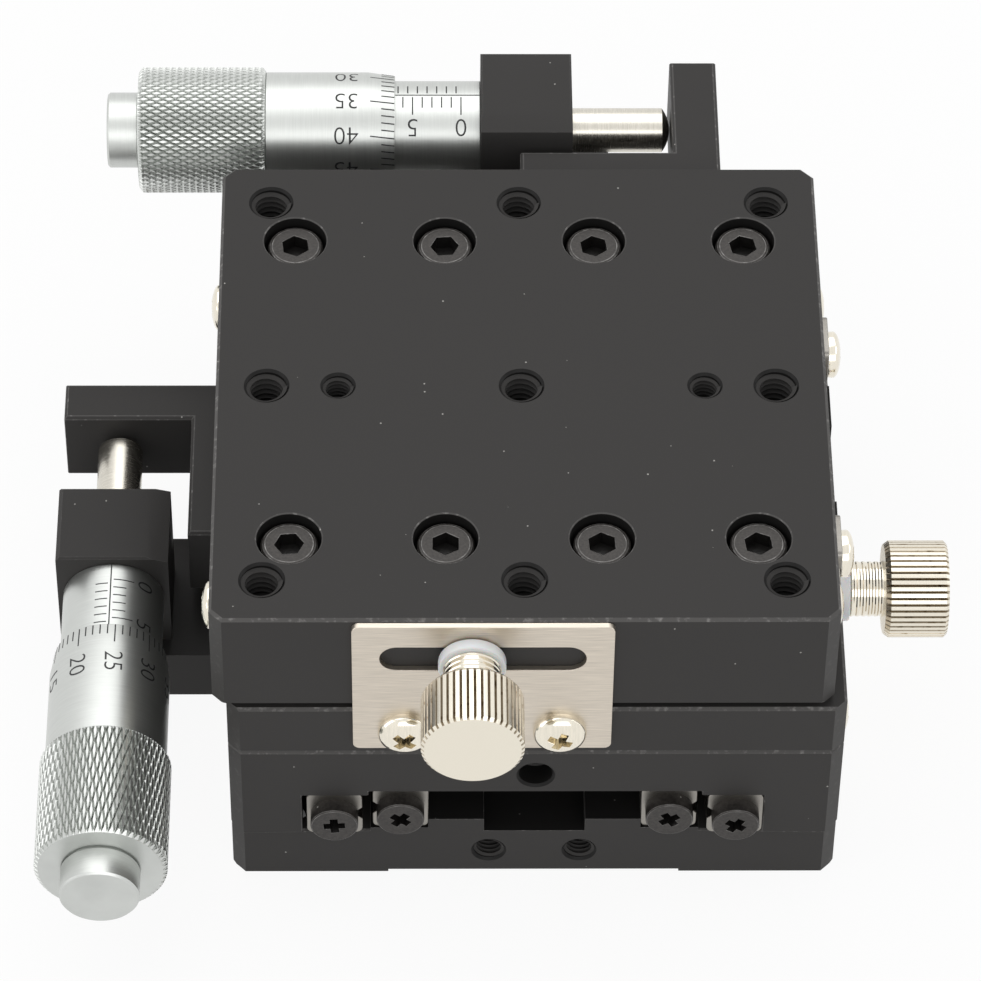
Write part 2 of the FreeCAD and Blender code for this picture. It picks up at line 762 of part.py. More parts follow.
def sleeve(name, base):
    """The fixed sleeve: a shank in the holder and a barrel with the millimetre scale."""
    front = -s.holder_front
    back = s.holder_width - s.holder_front
    barrel_end = front - s.sleeve_length
    nut_start = thimble_edge + s.centre_reading - s.thread_core_setback + s.spindle_nose
    outline = [
        (back, s.spindle_radius + s.spindle_play),
        (back, s.shank_radius),
        (front, s.shank_radius),
        (front, s.sleeve_radius),
        (barrel_end, s.sleeve_radius),
        (barrel_end, s.thread_core_radius + s.thread_core_play),
        (nut_start, s.thread_core_radius + s.thread_core_play),
        (nut_start, s.spindle_radius + s.spindle_play),
    ]
    node(name + "micrometer_sleeve", base, on_axis(turned(name + "sleeve_body", "XZ_Plane", outline)))


def thimble(name, table):
    """The turning pieces: the thimble, the spindle inside it and the cap that holds them together."""
    knurl_back = thimble_edge - s.knurl_start - s.knurl_length
    wall = knurl_back + s.thimble_wall
    bore = s.sleeve_radius + s.thimble_play
    outline = [
        (thimble_edge, bore),
        (thimble_edge, s.thimble_edge_radius),
        (thimble_edge - s.thimble_bevel, s.thimble_radius),
        (thimble_edge - s.knurl_start, s.thimble_radius),
        (thimble_edge - s.knurl_start, s.knurl_radius - s.knurl_cut),
        (thimble_edge - s.knurl_start - s.knurl_cut, s.knurl_radius),
        (knurl_back + s.knurl_cut, s.knurl_radius),
        (knurl_back, s.knurl_radius - s.knurl_cut),
        (knurl_back, s.cap_stud_radius + s.screw_play),
        (wall, s.cap_stud_radius + s.screw_play),
        (wall, bore),
    ]
    node(name + "thimble", table, on_axis(turned(name + "thimble_body", "XZ_Plane", outline)))

    tip = s.anvil_face - s.tip_gap
    core = thimble_edge - s.thread_core_setback
    nose_back = tip - s.spindle_nose
    hole_depth = s.cap_stud_length - s.thimble_wall + s.screw_play
    stem = [
        (nose_back, ZERO),
        (nose_back, s.spindle_radius),
        (core, s.spindle_radius),
        (core, s.thread_core_radius),
        (wall, s.thread_core_radius),
        (wall, s.cap_stud_radius + s.screw_play),
        (wall + hole_depth, s.cap_stud_radius + s.screw_play),
        (wall + hole_depth, ZERO),
    ]
    stem_body = on_axis(turned(name + "spindle_body", "XZ_Plane", stem))
    nose_start = (nose_back, axis_y, axis_height)
    nose_rod = rod(name + "nose_rod", s.spindle_radius, s.spindle_nose, nose_start, "x")
    ball = doc.addObject("Part::Sphere", name + "nose_ball")
    radius = "(Sizes.spindle_radius ^ 2 + Sizes.spindle_nose ^ 2) / (2 * Sizes.spindle_nose)"
    ball.setExpression("Radius", radius)
    put(ball, (tip, axis_y, axis_height))
    ball.setExpression("Placement.Base.x", f"{tip.text} - {radius}")
    nose = doc.addObject("Part::Common", name + "nose")
    nose.Base = nose_rod
    nose.Tool = ball
    node(name + "spindle", table, fuse(name + "spindle_whole", [stem_body, nose]))

    cap_end = knurl_back - s.cap_length
    cap = [
        (wall + s.cap_stud_length - s.thimble_wall, ZERO),
        (wall + s.cap_stud_length - s.thimble_wall, s.cap_stud_radius),
        (knurl_back, s.cap_stud_radius),
        (knurl_back, s.cap_radius),
        (cap_end + s.cap_cut, s.cap_radius),
        (cap_end, s.cap_radius - s.cap_cut),
        (cap_end, ZERO),
    ]
    node(name + "thimble_cap", table, on_axis(turned(name + "cap_body", "XZ_Plane", cap)))


def anvil_screw_places():
    return s.anvil_screw_first, s.anvil_screw_first + s.anvil_screw_pitch


def anvil(name, table):
    """The bracket on the side of the table whose arm rests on the spindle's tip."""
    back = s.anvil_face + s.anvil_thickness
    outline = [
        (s.strip_start, plate_half),
        (back, plate_half),
        (back, plate_half + s.anvil_reach),
        (s.anvil_face, plate_half + s.anvil_reach),
        (s.anvil_face, plate_half + s.strip_thickness),
        (s.strip_start, plate_half + s.strip_thickness),
    ]
    body = padded(name + "bracket_body", "XY_Plane", outline, s.anvil_height)
    dress(body, "Chamfer", s.bracket_cut,
          lambda e: at(abs(e.CenterOfMass.z), s.anvil_height / 2) and not at(e.CenterOfMass.y, plate_half))
    put(body, (ZERO, ZERO, axis_height))
    face = plate_half + s.strip_thickness
    tools = []
    screws = []
    for k, x in enumerate(anvil_screw_places()):
        tools.append(rod(f"{name}anvil_hole_{k}", s.medium_thread_radius + s.through_play, s.strip_thickness,
                         (x, plate_half, axis_height), "y"))
        tools.append(rod(f"{name}anvil_sink_{k}", s.medium_head_radius + s.through_play, s.anvil_screw_sink,
                         (x, face, axis_height), "-y"))
        screws.append(socket_screw(f"{name}anvil_screw_{k}", "medium", s.anvil_screw_length,
                                   (x, face - s.anvil_screw_sink, axis_height), "-y", "y"))
    node(name + "anvil_bracket", table, cut(name + "bracket_cut", body, tools))
    node(name + "anvil_screws", table, *screws)


def preload(name, table):
    """Set screws in the +Y leg that press the outer rail towards its rollers."""
    screws = []
    for step in PRELOAD_STEPS:
        start = (s.preload_pitch * step, leg_face + s.preload_length, rail_middle)
        screws.append(set_screw(f"{name}preload_{step + 1}", "medium", s.preload_length, start, "-y"))
    node(name + "preload_screws", table, *screws)


def lock(name, base, table):
    """A slotted plate on the base, and a thumb screw through it that clamps the table."""
    middle = -s.lock_plate_offset
    top = s.stage_height - s.lock_plate_top_gap
    low_x = middle - s.lock_plate_width / 2
    high_x = middle + s.lock_plate_width / 2
    outline = [
        (low_x, s.lock_plate_bottom),
        (high_x, s.lock_plate_bottom),
        (high_x, top),
        (low_x, top),
    ]
    body = padded(name + "lock_body", "XZ_Plane", outline, s.lock_plate_thickness)
    dress(body, "Fillet", s.lock_plate_corner, lambda e: runs_along(e, "y"))
    put(body, (ZERO, -plate_half - s.lock_plate_thickness / 2, ZERO))
    outside = -plate_half - s.lock_plate_thickness
    straight = (s.slot_length - s.slot_width) / 2
    slot_low = (middle - straight, outside, lock_height - s.slot_width / 2)
    tools = [box(name + "slot", slot_low, (straight * 2, s.lock_plate_thickness, s.slot_width))]
    screws = []
    for x in SIDES:
        tools.append(rod(f"{name}slot_end_{x + 1}", s.slot_width / 2, s.lock_plate_thickness,
                         (middle + straight * x, outside, lock_height), "y"))
        place = (middle + s.plate_screw_pitch / 2 * x, outside, plate_screw_height)
        tools.append(rod(f"{name}plate_hole_{x + 1}", s.small_thread_radius + s.screw_play,
                         s.lock_plate_thickness, place, "y"))
        screws.append(cross_screw(f"{name}plate_screw_{x + 1}", s.small_thread_radius, s.pan_head_radius,
                                  s.pan_head_height, s.plate_screw_length, place, "y", "-y"))
    node(name + "lock_plate", base, cut(name + "lock_plate_cut", body, tools))
    node(name + "lock_plate_screws", base, *screws)

    washer_front = s.lock_plate_thickness + s.washer_gap
    washer_back = washer_front + s.washer_thickness
    hole = s.medium_thread_radius
    ring = [
        (-washer_front, hole),
        (-washer_front, s.washer_radius),
        (-washer_back, s.washer_radius),
        (-washer_back, hole),
    ]
    lock_place = (-s.lock_offset, -plate_half, lock_height)
    node(name + "lock_washer", table, put(turned(name + "washer_body", "YZ_Plane", ring), lock_place))

    neck = washer_back + s.lock_thread_play
    knob = neck + s.neck_length
    end = knob + s.knob_length
    shank = s.medium_thread_radius - s.lock_thread_play
    screw = [
        (s.lock_thread_reach, ZERO),
        (s.lock_thread_reach, shank),
        (-neck, shank),
        (-neck, s.neck_radius),
        (-knob, s.neck_radius),
        (-knob, s.knob_radius - s.knob_cut),
        (-knob - s.knob_cut, s.knob_radius),
        (-end + s.knob_cut / 2, s.knob_radius),
        (-end, s.knob_radius - s.knob_cut / 2),
        (-end, ZERO),
    ]
    node(name + "lock_screw", table, put(turned(name + "knob_body", "YZ_Plane", screw), lock_place))


def spring(name, base, table, shift):
    """A close-wound spring in the notch, hooked on a pin of the base and a pin of the table."""
    base_pin = -s.spring_pin_place
    table_pin = s.spring_pin_place + shift
    coil_start = base_pin + s.spring_hook_length
    coil_end = table_pin - s.spring_hook_length
    coil = cut(name + "coil", rod(name + "coil_out", s.spring_radius, coil_end - coil_start,
                                  (coil_start, ZERO, spring_height), "x"),
               [rod(name + "coil_in", s.spring_radius - s.spring_wire, coil_end - coil_start,
                    (coil_start, ZERO, spring_height), "x")])
    parts = [coil]
    wire = s.spring_wire / 2
    bar = s.spring_radius - wire
    length = s.spring_hook_length - s.spring_ring_radius
    for k, (pin, end, along) in enumerate(((base_pin, coil_start, "x"), (table_pin, coil_end, "-x"))):
        ring = doc.addObject("Part::Torus", f"{name}spring_ring_{k}")
        bind(ring, Radius1=s.spring_ring_radius, Radius2=wire)
        parts.append(put(ring, (pin, ZERO, spring_height)))
        start = step_along((pin, ZERO, spring_height), along, s.spring_ring_radius)
        parts.append(rod(f"{name}spring_link_{k}", wire * s.spring_link_share, length, start, along))
        parts.append(rod(f"{name}spring_bar_{k}", wire, bar * 2, (end, ZERO, spring_height - bar)))
    node(name + "return_spring", base, fuse(name + "spring_whole", parts))
    low = notch_floor - s.spring_pin_seat
    node(name + "spring_pin_base", base, rod(name + "base_pin", s.spring_pin_radius - s.screw_play,
                                             roof - s.spring_pin_end_gap - low, (base_pin, ZERO, low)))
    foot = notch_floor + s.spring_pin_end_gap
    node(name + "spring_pin_table", table, rod(name + "table_pin", s.spring_pin_radius - s.screw_play,
                                               roof + s.spring_pin_seat - foot,
                                               (s.spring_pin_place, ZERO, foot)))


def stage(name, base, table, cage, shift, end_head_height):
    """One complete stage."""
    base_plate(name + "base_plate", base)
    table_plate(name + "table_plate", table)
    rails(name, base, table)
    cages(name, cage)
    rail_screws(name, base, table)
    end_screws(name, base, table, end_head_height)
    holder(name, base)
    sleeve(name, base)
    thimble(name, table)
    anvil(name, table)
    preload(name, table)
    lock(name, base, table)
    spring(name, base, table, shift)


def stack_screws(frame):
    """Four screws that hold the upper base on the lower table."""
    screws = []
    under_head = base_thickness - s.bolt_head_room
    for x in SIDES:
        for y in SIDES:
            start = (s.bolt_pitch / 2 * x, s.bolt_pitch / 2 * y, under_head)
            screws.append(socket_screw(f"stack_{x + 1}{y + 1}", "large", s.stack_screw_length,
                                       start, "-z", "z"))
    node("stack_screws", frame, *screws)


# The tables stand where the micrometers read what they read: a larger reading moves a table
# towards its thimble.

lower_shift = s.centre_reading - s.lower_reading
upper_shift = s.centre_reading - s.upper_reading

stage("lower_",
      Frame(90, ZERO, ZERO, ZERO),
      Frame(90, ZERO, lower_shift, ZERO),
      Frame(90, ZERO, lower_shift / 2, ZERO),
      lower_shift, s.lower_end_head_height)
stage("upper_",
      Frame(0, ZERO, lower_shift, s.stage_height),
      Frame(0, upper_shift, lower_shift, s.stage_height),
      Frame(0, upper_shift / 2, lower_shift, s.stage_height),
      upper_shift, s.upper_end_head_height)
stack_screws(Frame(0, ZERO, lower_shift, s.stage_height))

doc.recompute()

failed = [thing.Name for thing in doc.Objects if {"Invalid", "Error"} & set(thing.State)]
if failed:
    sys.exit(f"these objects failed: {failed}")
for thing in NODES:
    if thing.Shape.isNull() or not thing.Shape.isValid() or not thing.Shape.Solids:
        sys.exit(f"{thing.Label} has no valid solid")

os.makedirs("parts", exist_ok=True)
for thing in NODES:
    thing.Shape.exportStep(f"parts/{thing.Label}.step")
print(f"{len(NODES)} sub-parts written")
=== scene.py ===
import json
import math
import random
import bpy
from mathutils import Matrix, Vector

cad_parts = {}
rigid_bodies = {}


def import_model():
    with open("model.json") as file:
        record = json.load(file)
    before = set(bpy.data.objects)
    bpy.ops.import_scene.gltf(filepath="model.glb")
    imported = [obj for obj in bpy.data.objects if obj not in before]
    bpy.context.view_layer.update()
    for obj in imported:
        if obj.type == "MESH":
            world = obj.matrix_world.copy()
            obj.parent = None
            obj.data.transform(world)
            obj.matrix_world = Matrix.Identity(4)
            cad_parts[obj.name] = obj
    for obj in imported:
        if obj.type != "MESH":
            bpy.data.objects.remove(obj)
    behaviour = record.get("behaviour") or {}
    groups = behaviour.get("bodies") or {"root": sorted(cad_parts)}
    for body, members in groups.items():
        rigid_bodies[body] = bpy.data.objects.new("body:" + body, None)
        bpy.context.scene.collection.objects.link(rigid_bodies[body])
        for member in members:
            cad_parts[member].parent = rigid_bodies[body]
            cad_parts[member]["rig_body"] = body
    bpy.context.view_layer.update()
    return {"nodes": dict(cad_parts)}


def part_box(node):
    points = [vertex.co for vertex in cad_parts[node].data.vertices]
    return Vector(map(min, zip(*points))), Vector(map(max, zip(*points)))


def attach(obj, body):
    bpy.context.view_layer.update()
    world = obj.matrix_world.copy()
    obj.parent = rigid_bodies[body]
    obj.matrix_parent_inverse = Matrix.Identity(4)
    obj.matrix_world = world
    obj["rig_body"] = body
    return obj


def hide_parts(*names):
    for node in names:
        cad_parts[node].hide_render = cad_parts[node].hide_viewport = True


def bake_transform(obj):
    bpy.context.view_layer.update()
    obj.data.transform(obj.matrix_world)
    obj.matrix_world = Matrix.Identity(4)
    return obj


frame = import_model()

from types import SimpleNamespace

import bmesh
import bpy
from mathutils import Matrix, Vector

bl_info = {
    "name": "Crossed-roller stage looks",
    "version": (1, 0, 0),
    "blender": (4, 5, 0),
    "location": "View3D > Sidebar > Roller stage",
    "description": "Dresses the CAD solids of a two-axis micrometer stage with finished surfaces",
    "category": "Object",
}

MM = 0.001
FULL_TURN = 2 * math.pi
STAGES = ("lower", "upper")
STAGE_TURN = {"lower": math.radians(90), "upper": 0.0}
SMOOTH_ANGLE = math.radians(20)
SPRING_SMOOTH_ANGLE = SMOOTH_ANGLE * 1.6
SAME_POINT = 1e-5
DOWN = (0, 0, -1)
ALONG_X = (1, 0, 0)
FLOOR_GAP = 5e-5

# Marks that faces carry: a broken edge, rubbed and with a painted highlight (the same mark gives knurl slopes
# painted shade and knob grooves tarnish), an edge with little wear and little painted highlight, and a hole
# or gap, which gets painted shade
WORN = 1.0
HARDLY_WORN = 0.15
PAINTED_SHADE_MARK = -1.0

# Painted shade: holes and gaps are darkened by a share, towards a colour
PAINTED_SHADE_SHARE = 0.75
PAINTED_SHADE_COLOUR = (0.003, 0.003, 0.003)

# Sizes in millimetres that several pieces have in common
SCREW_HEAD_RADIUS = 2.75
SCREW_HEAD_HEIGHT = 3.0
SCREW_HOLE = 1.75
SCALE_LENGTH = 19.0
SPINDLE_TAIL = 1.53
BROKEN_EDGE = 0.07

# What a micrometer can do: its travel, its pitch in millimetres and the marks round its thimble
FULL_TRAVEL = 13
THREAD_PITCH = 0.5
THIMBLE_MARKS = 50

# Name, place, target, width, height and power of each lamp
LAMPS = (
    ("lamp_above", (-0.15, 0.30, 0.85), (0, 0, 0), 1.2, 0.85, 3.8),
    ("lamp_left", (-0.8, -0.2, 0.35), (0, 0, 0.02), 0.4, 0.7, 1.3),
    ("lamp_front", (0.1, -0.8, 0.5), (0, 0, 0.02), 0.9, 0.5, 1.9),
    ("lamp_right", (0.75, 0.1, 0.35), (0, 0, 0.02), 0.3, 0.6, 0.8),
)

# Name, colour, roughness, metallic, stretch and detail of the noise, relief in millimetres, by how much
# the roughness and the colour vary, and other inputs of the shader
FINISHES = (
    ("black_anodised", "anodised", 0.46, 0.0, (9, 9, 9), 4, 0.004, 0.05, 0.06, {"Specular IOR Level": 0.14}),
    ("black_oxide", "oxide", 0.36, 0.3, (4, 4, 4), 4, 0.020, 0.10, 0.35, {"Specular IOR Level": 0.4}),
    ("satin_chrome", "chrome", 0.38, 1.0, (14, 0.3, 0.3), 3, 0.0016, 0.05, 0.05),
    ("knurled_chrome", "chrome", 0.33, 1.0, (9, 9, 9), 2, 0.002, 0.05, 0.05),
    ("nickel", "nickel", 0.12, 1.0, (5, 0.6, 0.6), 3, 0.0018, 0.05, 0.05),
    ("nickel_face", "nickel", 0.30, 1.0, (12, 12, 12), 2, 0.002, 0.05, 0.04),
    ("stainless", "stainless", 0.38, 1.0, (0.30, 9, 16), 4, 0.007, 0.10, 0.16),
    ("ground_steel", "steel", 0.34, 1.0, (0.4, 14, 14), 3, 0.002, 0.06, 0.12),
    ("spindle_steel", "polished", 0.26, 1.0, (14, 0.4, 0.4), 3, 0.0014, 0.05, 0.08),
    ("spring_steel", "steel", 0.3, 1.0, (3, 3, 3), 2, 0.001, 0.04),
    ("brass", "brass", 0.3, 1.0, (4, 4, 4), 2, 0.001, 0.04),
    ("nylon", "nylon", 0.38, 0.0, (4, 4, 4), 2, 0.002, 0.03, 0.0,
     {"Subsurface Weight": 0.25, "Subsurface Scale": 0.6 * MM}),
    ("ink", "ink", 0.5, 0.0, (6, 6, 6), 2, 0.001, 0.05),
)

# Name, colour laid on the marked faces, sheen (the even share of that colour: a painted highlight along
# edges, painted shade on the knurl slopes, tarnish in the knob grooves) and amount of the rubbed specks,
# colour of the specks
WORN_FINISHES = (
    ("black_anodised", "worn", 0.16, 0.40, "dust"),
    ("black_oxide", "worn", 0.18, 0.52, "dust"),
    ("knurled_chrome", "shade", 0.10, 0.42, "shade"),
    ("nickel_face", "tarnish", 0.7, 0.4, "nickel"),
)

# CAD pieces that stay, and their materials
KEPT_NODES = {
    "roller_cages": "brass", "rollers": "ground_steel",
    "spring_pin_base": "ground_steel", "spring_pin_table": "ground_steel",
}


def length(name, millimetres, description):
    """A length of a property group, given in millimetres and kept in metres."""
    return bpy.props.FloatProperty(
        name=name, description=description, default=millimetres * MM, min=0, unit="LENGTH", precision=5
    )


def colour(name, rgb, description):
    return bpy.props.FloatVectorProperty(
        name=name, description=description, default=rgb, size=3, min=0, max=1, subtype="COLOR"
    )


class PlateSizes(bpy.types.PropertyGroup):
    """Edges and holes of the four plates."""

    corner_cut: length("Corner chamfer", 1.25, "Chamfer of a plate's four upright corners")
    edge_cut: length("Edge chamfer", 0.3, "Chamfer round a plate's top and long sides")
    rim_cut: length("Rim chamfer", 0.12, "Broken edge of holes, legs and grooves")
    roof_gap: length("Roof gap", 0.65, "Room between the rails and the table above them")
    preload_gap: length("Preload gap", 0.45, "Room behind the rail that the set screws push")
    land_half: length("Land half width", 10.5, "Half the width of the land between the base rails")
    land_rise: length("Land height", 1.35, "Height of the land above the rail seats")
    notch_half: length("Notch half width", 5.0, "Half the width of the groove in the land")
    seat_rise: length("Seat height", 0.5, "Height of the rail seats above the base")
    relief_half: length("Relief half width", 14.5, "Half the width of the hollow under a base")
    relief_depth: length("Relief depth", 0.35, "Depth of the hollow under a base")
    hole_pitch: length("Hole pitch", 25.0, "Distance between the large tapped holes")
    small_hole_place: length("Small hole place", 18.0, "Distance of the small tapped holes from the middle")
    screw_pitch: length("Rail screw pitch", 15.0, "Distance between the rail screws")
    large_thread: length("Large thread radius", 2.0, "Outer radius of the large tapped holes")
    large_pitch: length("Large thread pitch", 0.7, "Thread pitch of the large tapped holes")
    small_thread: length("Small thread radius", 1.5, "Outer radius of the small tapped holes")
    small_pitch: length("Small thread pitch", 0.5, "Thread pitch of the small tapped holes")
    sink_radius: length("Counterbore radius", 3.15, "Radius of the counterbores of the rail screws")
    bolt_sink_radius: length("Bolt counterbore radius", 3.9, "Radius of the counterbores in a base's corners")
    end_hole_height: length("End hole height", 16.4, "Height of the blind hole in a table's end")
    base_tap_height: length("Base hole height", 3.5, "Height of the two tapped holes in a base's end")
    base_tap_place: length("Base hole place", 4.5, "Distance of those holes from the middle")


class MicrometerSizes(bpy.types.PropertyGroup):
    """Knurls and graduations of the micrometers."""

    knurl_count: bpy.props.IntProperty(
        name="Knurl starts", description="Diamonds round the thimble", default=58, min=8, max=120
    )
    upper_angle: bpy.props.FloatProperty(
        name="Upper knurl angle", description="Lean of the grooves of the upper thimble's knurl",
        default=math.radians(28), subtype="ANGLE"
    )
    lower_angle: bpy.props.FloatProperty(
        name="Lower knurl angle", description="Lean of the grooves of the lower thimble's knurl",
        default=math.radians(16), subtype="ANGLE"
    )
    knurl_start: length("Knurl start", 13.4, "Distance of the knurl from the thimble's edge")
    knurl_depth: length("Knurl depth", 0.32, "Depth of the grooves between the diamonds")
    knurl_cut: length("Knurl chamfer", 0.35, "Chamfer at both ends of the knurl")
    bevel: length("Bevel length", 2.8, "Length of the thimble's tapered rim")
    rim_radius: length("Rim radius", 5.6, "Outer radius at the thimble's edge")
    barrel_radius: length("Barrel radius", 6.0, "Outer radius of the plain part of the thimble")
    zero_mark: length("Zero mark", 2.04, "Distance of the zero mark from the holder")
    mark_gap: length("Mark gap", 0.28, "Gap between the datum line and the marks of the sleeve")
    whole_mark: length("Whole mark", 1.6, "Reach of a one millimetre mark from the datum line")
    fifth_mark: length("Fifth mark", 2.4, "Reach of every fifth millimetre mark from the datum line")
    half_mark: length("Half mark", 1.55, "Reach of a half millimetre mark from the datum line")
    fine_mark: length("Fine mark", 1.35, "Length of a mark on the thimble")
    coarse_mark: length("Coarse mark", 2.5, "Length of every fifth mark on the thimble")
    mark_width: length("Mark width", 0.13, "Width of every mark")
    figure_height: length("Figure height", 1.8, "Height of the figures")
    zero_shift: bpy.props.FloatProperty(
        name="Zero shift", description="Marks by which the thimble's zero lies off the datum line",
        default=0.55
    )
    figure_place: length("Figure place", 5.0, "Distance of the thimble's figures from its edge")


class LockSizes(bpy.types.PropertyGroup):
    """Lock plates and thumb screws."""

    plate_corner: length("Plate corner", 0.7, "Radius of the lock plate's corners")
    slot_length: length("Slot length", 19.7, "Length of the slot in the lock plate")
    slot_width: length("Slot width", 3.4, "Width of the slot in the lock plate")
    slot_height: length("Slot height", 15.0, "Height of the slot's middle")
    teeth: bpy.props.IntProperty(
        name="Knob teeth", description="Teeth of the knob's straight knurl", default=46, min=12, max=120
    )
    tooth_depth: length("Tooth depth", 0.26, "Depth of the knob's knurl")
    neck_radius: length("Neck radius", 2.8, "Radius of the thumb screw's neck")
    ring_depth: length("Ring depth", 0.07, "Depth of the turned rings on the neck")
    washer_hole: length("Washer hole", 1.5, "Radius of the hole in the washer")


class Finishes(bpy.types.PropertyGroup):
    """Colours of the materials."""

    anodised: colour("Black anodised", (0.040, 0.0382, 0.0370), "Plates, holders and brackets")
    # Also laid thinly along every broken edge of the plates and screws as a painted highlight
    worn: colour("Worn edge", (0.36, 0.35, 0.34), "Bare metal where an edge is rubbed")
    dust: colour("Dust", (0.42, 0.41, 0.39), "Specks of dust and small knocks")
    chrome: colour("Satin chrome", (0.585, 0.60, 0.58), "Sleeves, thimbles and caps")
    nickel: colour("Nickel", (0.82, 0.77, 0.66), "Thumb screws and pan head screws")
    stainless: colour("Stainless", (0.63, 0.57, 0.49), "Lock plates")
    steel: colour("Ground steel", (0.30, 0.285, 0.26), "Rails and rollers")
    polished: colour("Polished steel", (0.66, 0.63, 0.56), "Spindles")
    oxide: colour("Black oxide", (0.040, 0.036, 0.033), "Socket screws and rail end screws")
    # Painted shade on the slopes of the thimbles' knurls
    shade: colour("Knurl grooves", (0.58, 0.59, 0.575), "Bottoms of the grooves of the thimbles' knurls")
    tarnish: colour("Tarnish", (0.20, 0.15, 0.09), "Bottoms of the grooves in the knobs")
    nylon: colour("Nylon", (0.80, 0.83, 0.85), "Washers")
    brass: colour("Brass", (0.72, 0.52, 0.25), "Roller cages")
    ink: colour("Ink", (0.012, 0.012, 0.013), "Marks and figures")
    floor: colour("Floor", (0.95, 0.95, 0.95), "Floor under the object")


GROUPS = {
    "stage_plates": PlateSizes,
    "stage_micrometers": MicrometerSizes,
    "stage_locks": LockSizes,
    "stage_finishes": Finishes,
}


def settings(name):
    """The values of a property group, with its lengths in millimetres."""
    group = getattr(bpy.context.scene, name)
    values = {}
    for prop in group.bl_rna.properties:
        if prop.identifier in ("rna_type", "name"):
            continue
        value = getattr(group, prop.identifier)
        values[prop.identifier] = value / MM if getattr(prop, "unit", "") == "LENGTH" else value
    return SimpleNamespace(**values)


# Places. A stage's own frame is in millimetres: travel along X, micrometer on the +Y side, lock on
# the -Y side, and the underside of its base at Z = 0.

def frame_of(stage, part):
    """From millimetres in a stage's base or table to metres in the row frame."""
    low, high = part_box(f"{stage}_{part}_plate")
    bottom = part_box(f"{stage}_base_plate")[0].z
    middle = Vector(((low.x + high.x) / 2, (low.y + high.y) / 2, bottom))
    return Matrix.Translation(middle) @ Matrix.Rotation(STAGE_TURN[stage], 4, "Z") @ Matrix.Scale(MM, 4)


def span(points):
    """The low and the high corner of the box round some points."""
    return [Vector([pick(point[axis] for point in points) for axis in range(3)]) for pick in (min, max)]


def own_box(stage, node, part="base"):
    """The box of a CAD node in millimetres in its stage's frame."""
    back = frame_of(stage, part).inverted()
    low, high = span([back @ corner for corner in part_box(f"{stage}_{node}")])
    return SimpleNamespace(low=low, high=high, middle=(low + high) / 2, size=high - low)


def axis_frame(stage, part):
    """A stage's frame moved on to the micrometer's axis, which runs along X."""
    thimble = own_box(stage, "thimble", part)
    return frame_of(stage, part) @ Matrix.Translation((0, thimble.middle.y, thimble.middle.z))


def lock_frame(stage):
    """A frame on the thumb screw's axis. X points out of the table's face."""
    plate = own_box(stage, "table_plate", "table")
    washer = own_box(stage, "lock_washer", "table")
    place = Matrix.Translation((washer.middle.x, plate.low.y, washer.middle.z))
    return frame_of(stage, "table") @ place @ Matrix.Rotation(math.radians(-90), 4, "Z")


def body_of(node):
    return frame["nodes"][node]["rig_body"]


# Shapes, all in millimetres

def all_of(bm):
    return bm.verts[:] + bm.edges[:] + bm.faces[:]


def verts_in(made):
    """The vertices among the things that an operator made."""
    return [item for item in made["geom"] if isinstance(item, bmesh.types.BMVert)]


def moved(bm, vec):
    bmesh.ops.translate(bm, verts=bm.verts, vec=vec)
    return bm


def turned(bm, degrees, axis):
    bmesh.ops.transform(bm, matrix=Matrix.Rotation(math.radians(degrees), 4, axis), verts=bm.verts)
    return bm


def outward(bm):
    """A shape with all its faces turned outward."""
    bmesh.ops.recalc_face_normals(bm, faces=bm.faces)
    return bm


def extrude(bm, faces, vec):
    made = bmesh.ops.extrude_face_region(bm, geom=faces)
    bmesh.ops.translate(bm, verts=verts_in(made), vec=vec)


def sweep(bm, angle, steps, axis="X", rise=0.0, merge=False, duplicate=False):
    """Spins a shape round an axis through the origin, and can move it along the axis at each step."""
    way = Vector((axis == "X", 0, axis == "Z"))
    bmesh.ops.spin(bm, geom=all_of(bm), axis=way, cent=(0, 0, 0), dvec=way * rise, angle=angle,
                   steps=steps, use_merge=merge, use_duplicate=duplicate)


def slice_at(bm, x, side, clear=False):
    """Cuts the faces at a place on X, and can take away what lies beyond it."""
    bmesh.ops.bisect_plane(bm, geom=all_of(bm), dist=SAME_POINT, plane_co=(x, 0, 0),
                           plane_no=(side, 0, 0), clear_outer=clear)


def prism(outline, start, end):
    """A bar along X with a closed outline of (y, z) points."""
    bm = bmesh.new()
    face = bm.faces.new([bm.verts.new((start, y, z)) for y, z in outline])
    extrude(bm, [face], (end - start, 0, 0))
    return outward(bm)


def block(low, high):
    bm = bmesh.new()
    bmesh.ops.create_cube(bm, size=1)
    low, high = Vector(low), Vector(high)
    bmesh.ops.scale(bm, verts=bm.verts, vec=high - low)
    return moved(bm, (low + high) / 2)


def disc(radius, segments):
    """A flat disc round the origin, facing along Z."""
    bm = bmesh.new()
    bmesh.ops.create_circle(bm, cap_ends=True, segments=segments, radius=radius)
    return bm


def rod(radius, depth, segments=12):
    """A bar along Z with its middle at the origin."""
    bm = bmesh.new()
    bmesh.ops.create_cone(bm, cap_ends=True, segments=segments, radius1=radius, radius2=radius, depth=depth)
    return bm


def patch(width, height, parts=1):
    """A flat rectangle round the origin, in several parts along X."""
    bm = bmesh.new()
    bmesh.ops.create_grid(bm, x_segments=parts, y_segments=1, size=0.5)
    bmesh.ops.scale(bm, verts=bm.verts, vec=(width, height, 1))
    return bm


